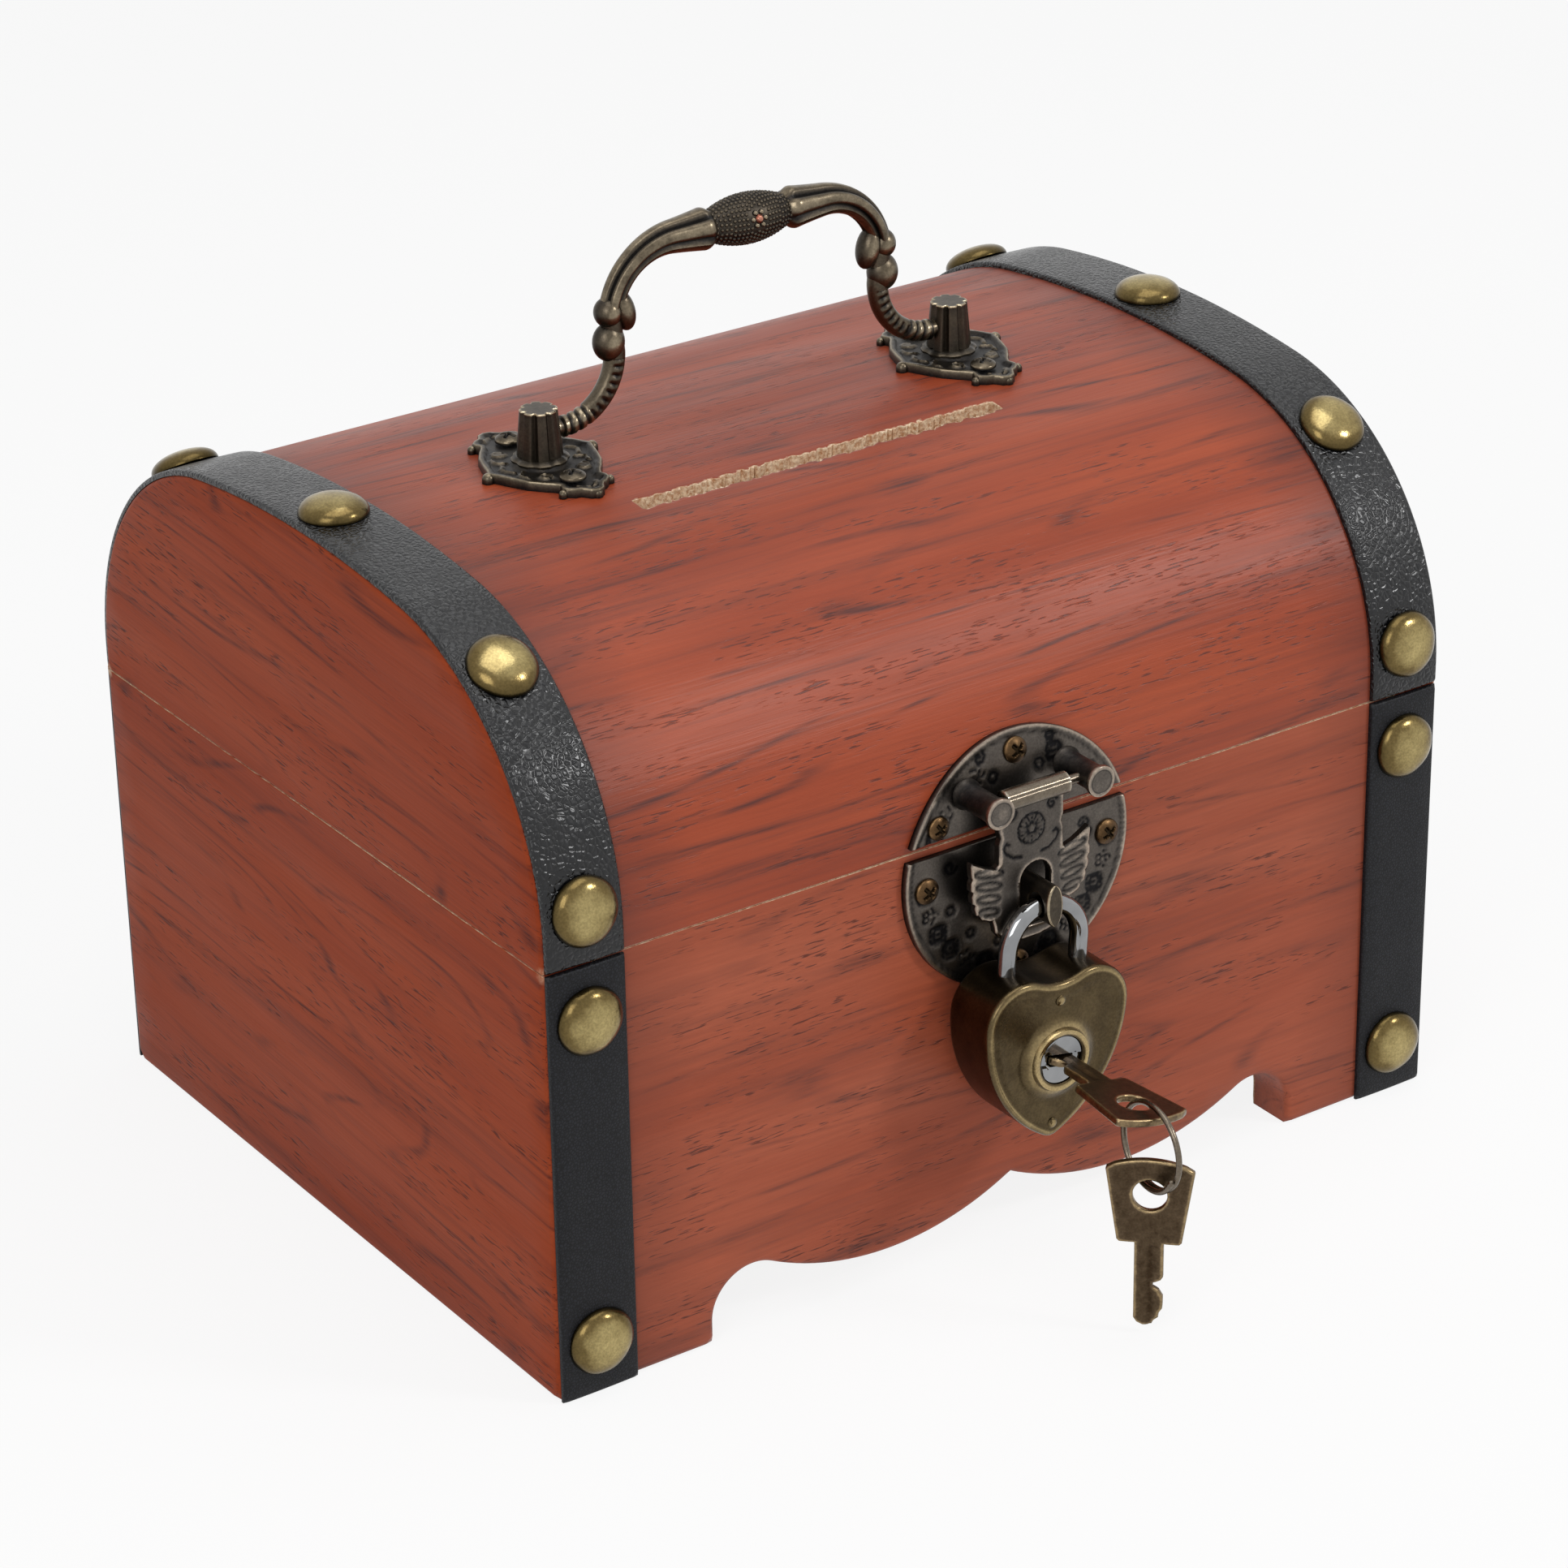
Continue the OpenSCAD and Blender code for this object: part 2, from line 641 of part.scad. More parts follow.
module latch_plate_upper() {
    color("#4d4a48") difference() {
        union() {
            intersection() {
                along_x(2 * latch_r + over) difference() {
                    lid_outline(latch_t, body_h + latch_gap / 2);
                    lid_outline(0, body_h - over);
                }
                latch_disc(0, chest_d);
            }
            for (s = [-1, 1]) difference() {
                translate([s * pillar_span / 2, -half_d + latch_t, barrel_z]) rotate([90, 0, 0])
                    cylinder(r = pillar_r, h = pillar_l + latch_t);
                along_x(2 * latch_r) lid_outline(0, body_h - over);
            }
        }
        translate([-pillar_span / 2 - hasp_pin_in, barrel_y, barrel_z]) rotate([0, 90, 0])
            cylinder(r = hasp_pin_r + fit, h = pillar_span + 2 * hasp_pin_in);
        on_shoulder(0, upper_top_a, -1, latch_t) screw_hole(latch_t);
        for (s = [-1, 1]) on_shoulder(s * upper_side_x, upper_side_a, -1, latch_t) screw_hole(latch_t);
    }
}
hasp_pin_in = 0.8;
module latch_screws_upper() {
    color("#9a8250") {
        on_shoulder(0, upper_top_a, -1, latch_t) screw();
        for (s = [-1, 1]) on_shoulder(s * upper_side_x, upper_side_a, -1, latch_t) screw(1.9);
    }
}
module hasp_pin() {
    color("#8c8c90") translate([-pillar_span / 2 - hasp_pin_in + fit, barrel_y, barrel_z]) rotate([0, 90, 0])
        cylinder(r = hasp_pin_r, h = pillar_span + 2 * hasp_pin_in - 2 * fit);
}
module staple() {
    color("#6f6252") difference() {
        translate([0, 0, staple_mid]) along_y(-half_d - staple_l, staple_l - latch_t) {
            square([staple_w, staple_h - staple_w], center = true);
            for (s = [-1, 1]) translate([0, s * (staple_h - staple_w) / 2]) circle(d = staple_w);
        }
        translate([-staple_w, shackle_y, eye_z]) rotate([0, 90, 0]) cylinder(r = eye_r, h = 2 * staple_w);
    }
}
module hasp() {
    drop = barrel_z - staple_mid;
    half = hasp_w / 2;
    back = barrel_y + barrel_r - hasp_t;
    color("#57524c") translate([-hasp_off, 0, 0]) difference() {
        union() {
            translate([-half, barrel_y, barrel_z]) rotate([0, 90, 0]) cylinder(r = barrel_r, h = hasp_w);
            translate([0, 0, staple_mid]) along_y(back, hasp_t) polygon([
                [-half, drop], [-half, 5.6], [-wing_w / 2, 7.4], [-wing_w / 2 + 0.6, -0.6],
                [-wing_w / 2 + 1.6, -2.4], [-half - 0.8, -2], [-half - 0.6, -5], [-3.6, -7],
                [3.6, -7], [half + 0.6, -5], [half + 0.8, -2], [wing_w / 2 - 1.6, -2.4],
                [wing_w / 2 - 0.6, -0.6], [wing_w / 2, 7.4], [half, 5.6], [half, drop]
            ]);
        }
        translate([-hasp_w, barrel_y, barrel_z]) rotate([0, 90, 0])
            cylinder(r = hasp_pin_r + fit, h = 2 * hasp_w);
        translate([hasp_off, 0, staple_mid]) along_y(back - over, hasp_t + 2 * over) {
            translate([-hasp_hole_w / 2, -hasp_hole_down])
                square([hasp_hole_w, hasp_hole_up + hasp_hole_down - hasp_hole_w / 2]);
            translate([0, hasp_hole_up - hasp_hole_w / 2]) circle(d = hasp_hole_w);
        }
    }
}

// ---- padlock ----
module shackle_leg(x, deep, grow) {
    translate([x, 0, -shackle_up - deep]) cylinder(r = shackle_r + grow, h = shackle_up + deep);
}
module shackle() {
    color("#c9ccd0") lock_place() {
        rotate([90, 0, 0]) rotate_extrude(angle = 180) translate([shackle_half, 0]) circle(r = shackle_r);
        shackle_leg(-shackle_half, short_leg, 0);
        shackle_leg(shackle_half, long_leg, 0);
    }
}
module padlock_body() {
    color("#8f7c48") difference() {
        keyhole_place(0) {
            along_y(lock_face + rim_step, lock_t - rim_step) heart_outline(0);
            along_y(lock_face, rim_step) heart_outline(-rim_step);
        }
        lock_place() {
            shackle_leg(-shackle_half, short_leg + shackle_drop, fit);
            shackle_leg(shackle_half, long_leg + pass_gap, fit);
        }
        keyhole_place(0) along_y(lock_face - over, cyl_l + over + pass_gap) circle(r = cyl_r + fit);
        keyhole_place(0) for (z = rivet_z) along_y(lock_face - over, lock_t + 2 * over)
            translate([0, z]) circle(r = rivet_r);
    }
}
rivet_z = [9.6, -11.4];
shackle_drop = 0.5;
module padlock_collar() {
    color("#a08a50") keyhole_place(0) along_y(lock_face - collar_h, collar_h) difference() {
        circle(r = cyl_r + collar_wall);
        circle(r = cyl_r + fit);
    }
}
module padlock_rivets() {
    color("#7d6c40") keyhole_place(0) for (z = rivet_z)
        along_y(lock_face - 0.5, lock_t + 1) translate([0, z]) circle(r = rivet_r);
}
module keyway(grow) {
    square([blade_w + 2 * grow, key_t + 2 * grow], center = true);
}
module lock_cylinder() {
    color("#c9ccd0") keyhole_place(key_slant) difference() {
        along_y(lock_face - collar_h + 0.3, cyl_l + collar_h - 0.3) circle(r = cyl_r);
        along_y(lock_face - collar_h - over, cyl_l + collar_h + 2 * over) keyway(2 * fit);
    }
}

// ---- keys ----
module key_flat() {
    step = blade_w / 5;
    difference() {
        union() {
            intersection() {
                polygon([
                    [-bow_w2 / 2, 0], [bow_w2 / 2, 0], [bow_w / 2, bow_l * 0.86],
                    [bow_w / 2 - 0.6, bow_l], [-bow_w / 2 + 0.6, bow_l], [-bow_w / 2, bow_l * 0.86]
                ]);
                translate([0, bow_l - bow_w]) circle(r = bow_w, $fn = 96);
            }
            translate([-blade_w / 2, -blade_l + blade_w / 2]) square([blade_w, blade_l]);
            translate([0, -blade_l + blade_w / 2]) circle(d = blade_w);
        }
        translate([0, bow_l - key_hole_in]) circle(r = key_hole_r);
        // bitting along one edge of the blade
        translate([blade_w / 2, -blade_l * 0.45]) circle(r = step * 1.1);
        translate([blade_w / 2 - step * 0.6, -blade_l]) square([blade_w, blade_l * 0.3]);
        translate([blade_w / 2 - step * 1.2, -blade_l - over]) square([blade_w, blade_l * 0.16 + over]);
    }
}
module key_in_lock() {
    color("#8a7550") keyhole_place(key_slant) translate([0, bow_start, -key_t / 2])
        mirror([0, 1, 0]) linear_extrude(key_t) key_flat();
}
module key_ring() {
    color("#8a7550") translate([turn_x, ring_y, ring_z]) rotate([0, 90, 0]) rotate_extrude()
        translate([ring_r, 0]) circle(r = ring_wire);
}
module spare_key() {
    hang = key_hole_r - ring_wire - ring_slack;
    color("#8a7550") translate([turn_x, ring_y, ring_bottom - hang]) rotate([90, 0, -spare_turn])
        translate([0, key_hole_in - bow_l, -key_t / 2]) linear_extrude(key_t) key_flat();
}

front_board();
back_board();
end_board(-1);  // end_board_left
end_board(1);  // end_board_right
floor_board();
body_strap(-1, -1);  // body_strap_front_left
body_strap(1, -1);  // body_strap_front_right
body_strap(-1, 1);  // body_strap_back_left
body_strap(1, 1);  // body_strap_back_right
body_tacks();
latch_plate_lower();
latch_screws_lower();
staple();
body_leaf(-1);  // hinge_body_leaf_left
body_leaf(1);  // hinge_body_leaf_right
hinge_pins();
hinge_body_screws();
lid_shell(-half_d, slot_front);  // lid_board_front
lid_shell(slot_back, half_d);  // lid_board_back
slot_end(-1);  // lid_slot_end_left
slot_end(1);  // lid_slot_end_right
lid_end(-1);  // lid_end_left
lid_end(1);  // lid_end_right
lid_strap(-1);  // lid_strap_left
lid_strap(1);  // lid_strap_right
lid_tacks();
latch_plate_upper();
latch_screws_upper();
hasp_pin();
lid_leaf(-1);  // hinge_lid_leaf_left
lid_leaf(1);  // hinge_lid_leaf_right
hinge_lid_screws();
handle_mount(-1);  // handle_mount_left
handle_mount(1);  // handle_mount_right
handle_screws();
handle_bail();
hasp();
shackle();
padlock_body();
padlock_collar();
padlock_rivets();
lock_cylinder();
key_in_lock();
key_ring();
spare_key();
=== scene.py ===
import math
from functools import partial

import bpy
import bmesh
import numpy as np
from mathutils import Matrix, Vector
from mathutils.geometry import delaunay_2d_cdt


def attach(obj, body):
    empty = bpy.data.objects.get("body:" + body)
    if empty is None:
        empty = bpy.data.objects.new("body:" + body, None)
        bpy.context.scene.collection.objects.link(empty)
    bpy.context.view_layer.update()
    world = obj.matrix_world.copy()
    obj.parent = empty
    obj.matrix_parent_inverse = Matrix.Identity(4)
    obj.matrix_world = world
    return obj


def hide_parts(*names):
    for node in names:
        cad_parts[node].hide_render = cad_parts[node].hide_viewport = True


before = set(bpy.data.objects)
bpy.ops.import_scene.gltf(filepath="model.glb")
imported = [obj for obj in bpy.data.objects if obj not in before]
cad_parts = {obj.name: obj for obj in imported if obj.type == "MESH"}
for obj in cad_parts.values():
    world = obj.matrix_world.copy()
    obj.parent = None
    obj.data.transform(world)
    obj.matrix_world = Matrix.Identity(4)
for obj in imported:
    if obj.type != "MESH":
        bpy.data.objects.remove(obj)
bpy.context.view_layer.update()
mm = 0.001
print("frame loaded:", len(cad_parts), "solids")

# The whole chest, in millimetres; every piece below starts from these.
chest = {
    "halfLength": 85.0,
    "halfDepth": 66.5,
    "bodyHeight": 72.5,
    "seamGap": 0.12,
    "boardThickness": 9.0,
    "lidThickness": 7.0,
    "lidRise": 47.2,
    "lipHeight": 3.5,
    "shoulderRadius": 42.0,
    "strapCentre": 77.9,
    "strapWidth": 13.4,
    "strapThickness": 1.0,
}
crown = chest["bodyHeight"] + chest["lidRise"]
sides = (("Left", -1), ("Right", 1))


def polar(r, degrees, cx=0.0, cy=0.0):
    a = math.radians(degrees)
    return cx + r * math.cos(a), cy + r * math.sin(a)


def arcPoints(cx, cy, r, start, end, count):
    return [polar(r, start + (end - start) * i / count, cx, cy) for i in range(count + 1)]


def circle(cx, cy, r, count):
    return arcPoints(cx, cy, r, 0, 360, count)[:-1]


def rectangle(x0, y0, x1, y1):
    return [(x0, y0), (x1, y0), (x1, y1), (x0, y1)]


def spiral(cx, cy, radius, turns, start, hand=1, count=22):
    out = []
    for i in range(count + 1):
        r, a = radius * (1 - 0.86 * i / count), start + hand * turns * 2 * math.pi * i / count
        out.append((cx + r * math.cos(a), cy + r * math.sin(a)))
    return out


def unit(x):
    return np.clip(x, 0, 1)


def bell(x, width):
    return np.exp(-(x / width) ** 2)


def loopPoints(points, spacing):
    ring = np.asarray(points, float)
    out = []
    for a, b in zip(ring, np.roll(ring, -1, axis=0)):
        count = max(1, int(math.ceil(np.linalg.norm(b - a) / spacing)))
        out += [a + (b - a) * i / count for i in range(count)]
    return np.array(out)


def insideLoops(points, loops):
    px, py = points[:, 0], points[:, 1]
    inside = np.zeros(len(points), bool)
    for loop in loops:
        for (x1, y1), (x2, y2) in zip(loop, np.roll(loop, -1, axis=0)):
            if y1 != y2:
                crosses = (y1 > py) != (y2 > py)
                inside ^= crosses & (px < (x2 - x1) * (py - y1) / (y2 - y1) + x1)
    return inside


def lineDistance(points, lines, closed=False):
    best = np.full(len(points), 1e9)
    for line in lines:
        line = np.asarray(line, float)
        for a, b in zip(line, np.roll(line, -1, axis=0) if closed else line[1:]):
            ab = b - a
            t = unit((points - a) @ ab / max(ab @ ab, 1e-12))
            best = np.minimum(best, np.hypot(*(points - a - t[:, None] * ab).T))
    return best


def roundEdge(d, radius):
    inner = np.clip(radius - d, 0, radius)
    return radius - np.sqrt(radius * radius - inner * inner)


def level(height=0.0, wear=0.0):
    return lambda p, d: (height, wear)


def carry(points, matrix):
    m = np.array(matrix)
    return points @ m[:3, :3].T + m[:3, 3]


def asDrawn(u, v, h):
    return np.column_stack([u, v, h])


def slab(loops, step, rims, top, bottom, place, wallWear=None):
    # A flat-sided solid whose two faces are height fields over one outline with holes.
    # top and bottom take (points, edge distance) and give (height, wear); place takes u, v,
    # height. Rings of points follow the edges at the distances in rims.
    rings = [loopPoints(loop, min(step, max(0.35 * step, rims[-1] * 1.2))) for loop in loops]
    points, edges, extra = [], [], []
    for ring in rings:
        start, count = len(points), len(ring)
        edges += [(start + i, start + (i + 1) % count) for i in range(count)]
        points += list(ring)
        run = np.roll(ring, -1, axis=0) - np.roll(ring, 1, axis=0)
        normal = np.stack([-run[:, 1], run[:, 0]], 1) / np.linalg.norm(run, axis=1)[:, None]
        extra += [np.concatenate([ring + normal * rim, ring - normal * rim]) for rim in rims]
    apart = np.repeat(np.tile(rims, len(rings)), [len(e) for e in extra])
    extra = np.concatenate(extra)
    keep = insideLoops(extra, rings)
    extra, apart = extra[keep], apart[keep]
    points += list(extra[lineDistance(extra, rings, True) > 0.93 * apart])
    (x0, y0), (x1, y1) = (f(np.concatenate(rings), axis=0) for f in (np.min, np.max))
    grid = np.array([(x + (0.5 * step if j % 2 else 0), y)
                     for j, y in enumerate(np.arange(y0, y1 + step, step * 0.87))
                     for x in np.arange(x0, x1 + step, step)])
    grid = grid[insideLoops(grid, rings)]
    points += list(grid[lineDistance(grid, rings, True) > rims[-1] + 0.5 * step])
    flat, _, faces, origins, _, _ = delaunay_2d_cdt([Vector(p) for p in points], edges, [], 1, 1e-5)
    seat = {}
    for i, given in enumerate(origins):
        for g in given:
            seat.setdefault(g, i)
    flat = np.array([tuple(p) for p in flat])
    solid = insideLoops(np.array([flat[list(f)].mean(0) for f in faces]), rings)
    faces = [tuple(f) for f, keep in zip(faces, solid) if keep]
    d, count = lineDistance(flat, rings, True), len(flat)
    high, highWear, low, lowWear = (v * np.ones(count) for v in (*top(flat, d), *bottom(flat, d)))
    rows = [np.column_stack([flat, high, highWear]), np.column_stack([flat, low, lowWear])]
    faces += [tuple(i + count for i in reversed(f)) for f in faces]
    start, made = 0, 2 * count
    for k, ring in enumerate(rings):
        seats = [seat[start + i] for i in range(len(ring))]
        start += len(ring)
        columns = [seats]
        for share in (0.04, 0.96) if wallWear is not None else ():
            wear = wallWear[k] if isinstance(wallWear, tuple) else wallWear
            h = high[seats] + (low[seats] - high[seats]) * share
            rows.append(np.column_stack([flat[seats], h, np.full(len(seats), wear)]))
            columns.append(list(range(made, made + len(seats))))
            made += len(seats)
        columns.append([i + count for i in seats])
        for a, b in zip(columns, columns[1:]):
            faces += [(a[i - 1], a[i], b[i], b[i - 1]) for i in (*range(1, len(seats)), 0)]
    u, v, h, wear = np.concatenate(rows).T
    return place(u, v, h), faces, wear


def lathe(profile, segments=48, ripple=None):
    # profile: (radius, height, wear) rows about +Z; a zero radius closes a pole
    verts, wear, rings = [], [], []
    for r, h, w in profile:
        start, count = len(verts), segments if r > 0 else 1
        for i in range(count):
            a = 2 * math.pi * i / segments
            rr = r * (ripple(a, h) if ripple else 1)
            verts.append((rr * math.cos(a), rr * math.sin(a), h))
            wear.append(w)
        rings.append([start + i % count for i in range(segments + 1)])
    faces = [tuple(dict.fromkeys((a[i], a[i + 1], b[i + 1], b[i])))
             for a, b in zip(rings, rings[1:]) for i in range(segments)]
    return np.array(verts), faces, np.array(wear, float)


def tube(path, radius, segments=24, ripple=None, wear=None):
    # A closed round bar along a path, its frame carried along without twist.
    path = np.asarray(path, float)
    tangents = np.gradient(path, axis=0)
    tangents /= np.linalg.norm(tangents, axis=1)[:, None]
    side = np.cross(tangents[0], (0, 1, 0))
    if np.linalg.norm(side) < 0.2:
        side = np.cross(tangents[0], (1, 0, 0))
    verts, faces, wears = [], [], []
    for i, (p, t) in enumerate(zip(path, tangents)):
        side = side - t * (side @ t)
        side /= np.linalg.norm(side)
        other = np.cross(t, side)
        for k in range(segments):
            a = 2 * math.pi * k / segments
            r = radius[i] * (ripple(i, a) if ripple else 1)
            verts.append(p + side * (r * math.cos(a)) + other * (r * math.sin(a)))
            wears.append(wear(i, a) if wear else 0.5)
    last = len(path) - 1
    rows = [[i * segments + k % segments for k in range(segments + 1)] for i in range(last + 1)]
    for a, b in zip(rows, rows[1:]):
        faces += [(a[k], a[k + 1], b[k + 1], b[k]) for k in range(segments)]
    for i in (0, last):
        c, row = len(verts), rows[i] if i else rows[0][::-1]
        verts.append(path[i])
        wears.append(wears[i * segments])
        faces += [(c, a, b) for a, b in zip(row, row[1:])]
    return np.array(verts), faces, np.array(wears, float)


def moved(part, matrix):
    return carry(part[0], matrix), *part[1:]


def addObject(name, data):
    made = bpy.data.objects.new(name, data)
    bpy.context.scene.collection.objects.link(made)
    return made


def smooth(mesh, angle):
    mesh.shade_smooth()
    mesh.set_sharp_from_angle(angle=math.radians(angle))


def build(name, parts, material, angle):
    # the mesh in metres, with its wear on a point attribute and its faces turned outwards
    faces, start = [], 0
    for verts, partFaces, _ in parts:
        faces += [tuple(int(i) + start for i in f) for f in partFaces]
        start += len(verts)
    mesh = bpy.data.meshes.new(name)
    mesh.from_pydata((np.concatenate([p[0] for p in parts]) * mm).tolist(), [], faces)
    worn = mesh.attributes.new("worn", "FLOAT", "POINT")
    worn.data.foreach_set("value", np.concatenate([p[2] for p in parts]).astype(np.float32))
    work = bmesh.new()
    work.from_mesh(mesh)
    bmesh.ops.recalc_face_normals(work, faces=work.faces)
    work.to_mesh(mesh)
    work.free()
    smooth(mesh, angle)
    mesh.materials.append(material)
    return addObject(name, mesh)


def settle(piece, body, slot, *nodes):
    # a piece stands for the named nodes, or for the one that shares its name; Blender numbers
    # a piece's name where a node has taken it
    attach(piece, body)
    own = "".join("_" + c.lower() if c.isupper() else c for c in piece.name.split(".")[0])
    nodes = nodes or [own] * (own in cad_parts)
    if nodes:
        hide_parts(*nodes)


def addPiece(name, parts, material, body, slot, *nodes, angle=40):
    settle(build(name, parts, material, angle), body, slot, *nodes)


def along(origin, direction, spin=0.0):
    # a place whose +Z points along direction
    turn = Vector(direction).to_track_quat("Z", "Y").to_matrix().to_4x4()
    return Matrix.Translation(Vector(origin)) @ turn @ Matrix.Rotation(spin, 4, "Z")


def shift(x, y, z):
    return Matrix.Translation((x, y, z))


def turn(degrees, axis):
    return Matrix.Rotation(math.radians(degrees), 4, axis)


def lidAt(s):
    # from the lid's front bottom edge over the top to the back: y, z and the outward normal
    r, lip, deep = chest["shoulderRadius"], chest["lipHeight"], chest["halfDepth"]
    sy, sz = deep - r, chest["bodyHeight"] + lip
    rise = chest["lidRise"] - lip
    crownR = (sy * sy + rise * rise - r * r) / (2 * (rise - r))
    crownZ = crown - crownR
    tangent = math.atan2(sz - crownZ, sy)
    base = chest["bodyHeight"] + chest["seamGap"]
    lengths = np.cumsum([sz - base, r * tangent, crownR * (math.pi / 2 - tangent)])
    s = np.asarray(s, float)
    t = lengths[2] - np.abs(s - lengths[2])
    shoulder = np.clip((t - lengths[0]) / r, 0, tangent)
    top = tangent + np.clip((t - lengths[1]) / crownR, 0, math.pi / 2 - tangent)
    onLip, onCrown = t < lengths[0], t > lengths[1]
    a = np.where(onCrown, top, np.where(onLip, 0, shoulder))
    ny, nz = -np.cos(a), np.sin(a)
    y = np.where(onCrown, ny * crownR, np.where(onLip, -deep, -sy + r * ny))
    z = np.where(onCrown, crownZ + crownR * nz, np.where(onLip, base + t, sz + r * nz))
    back = np.where(s > lengths[2], -1.0, 1.0)
    return y * back, z, ny * back, nz


def lidLength():
    s = np.linspace(0, 300, 6001)
    low = np.abs(lidAt(s)[1] - chest["bodyHeight"] - chest["seamGap"]) < 0.06
    return float(s[(s > 100) & low][0])


lidArc = lidLength()


def lidStation(y, z):
    s = np.linspace(0, lidArc, 4000)
    py, pz, _, _ = lidAt(s)
    return float(s[np.argmin((py - y) ** 2 + (pz - z) ** 2)])


def onLid(u, v, h):
    y, z, ny, nz = lidAt(v)
    return np.column_stack([u, y + ny * h, z + nz * h])


def onFace(axis, sign):
    # a flat face of the chest: u, v lie in it and h stands out of it
    if axis == "x":
        return lambda u, v, h: np.column_stack([sign * (chest["halfLength"] + h), u, v])
    return lambda u, v, h: np.column_stack([u, sign * (chest["halfDepth"] + h), v])


def colour(text):
    def channel(c):
        c = int(c, 16) / 255
        return c / 12.92 if c <= 0.04045 else ((c + 0.055) / 1.055) ** 2.4
    return (*(channel(text[i:i + 2]) for i in (1, 3, 5)), 1.0)


def addNode(tree, kind, *values, **named):
    # Lower-case names are the node's own settings and the others are inputs; values without
    # a name fill the inputs in use, in order. A node given as a value links its first output.
    node = tree.nodes.new(kind if "Node" in kind else "ShaderNode" + kind)
    for key in [k for k in named if k[0].islower()]:
        setattr(node, key, named.pop(key))
    inUse = [s for s in node.inputs if s.enabled]
    pairs = list(zip(inUse, values)) + [(node.inputs[k.replace("_", " ")], v) for k, v in named.items()]
    for socket, value in pairs:
        if isinstance(value, bpy.types.Node):
            value = next(s for s in value.outputs if s.enabled)
        if isinstance(value, bpy.types.NodeSocket):
            tree.links.new(value, socket)
        else:
            socket.default_value = value
    return node


multiply, multiplyAdd, maximum, scaled = (
    {"operation": name} for name in ("MULTIPLY", "MULTIPLY_ADD", "MAXIMUM", "SCALE"))
colours = {"data_type": "RGBA"}


def newMaterial(name):
    material = bpy.data.materials.new(name)
    material.use_nodes = True
    material.node_tree.nodes.clear()
    add = partial(addNode, material.node_tree)
    return material, add, add("TexCoord").outputs["Object"]


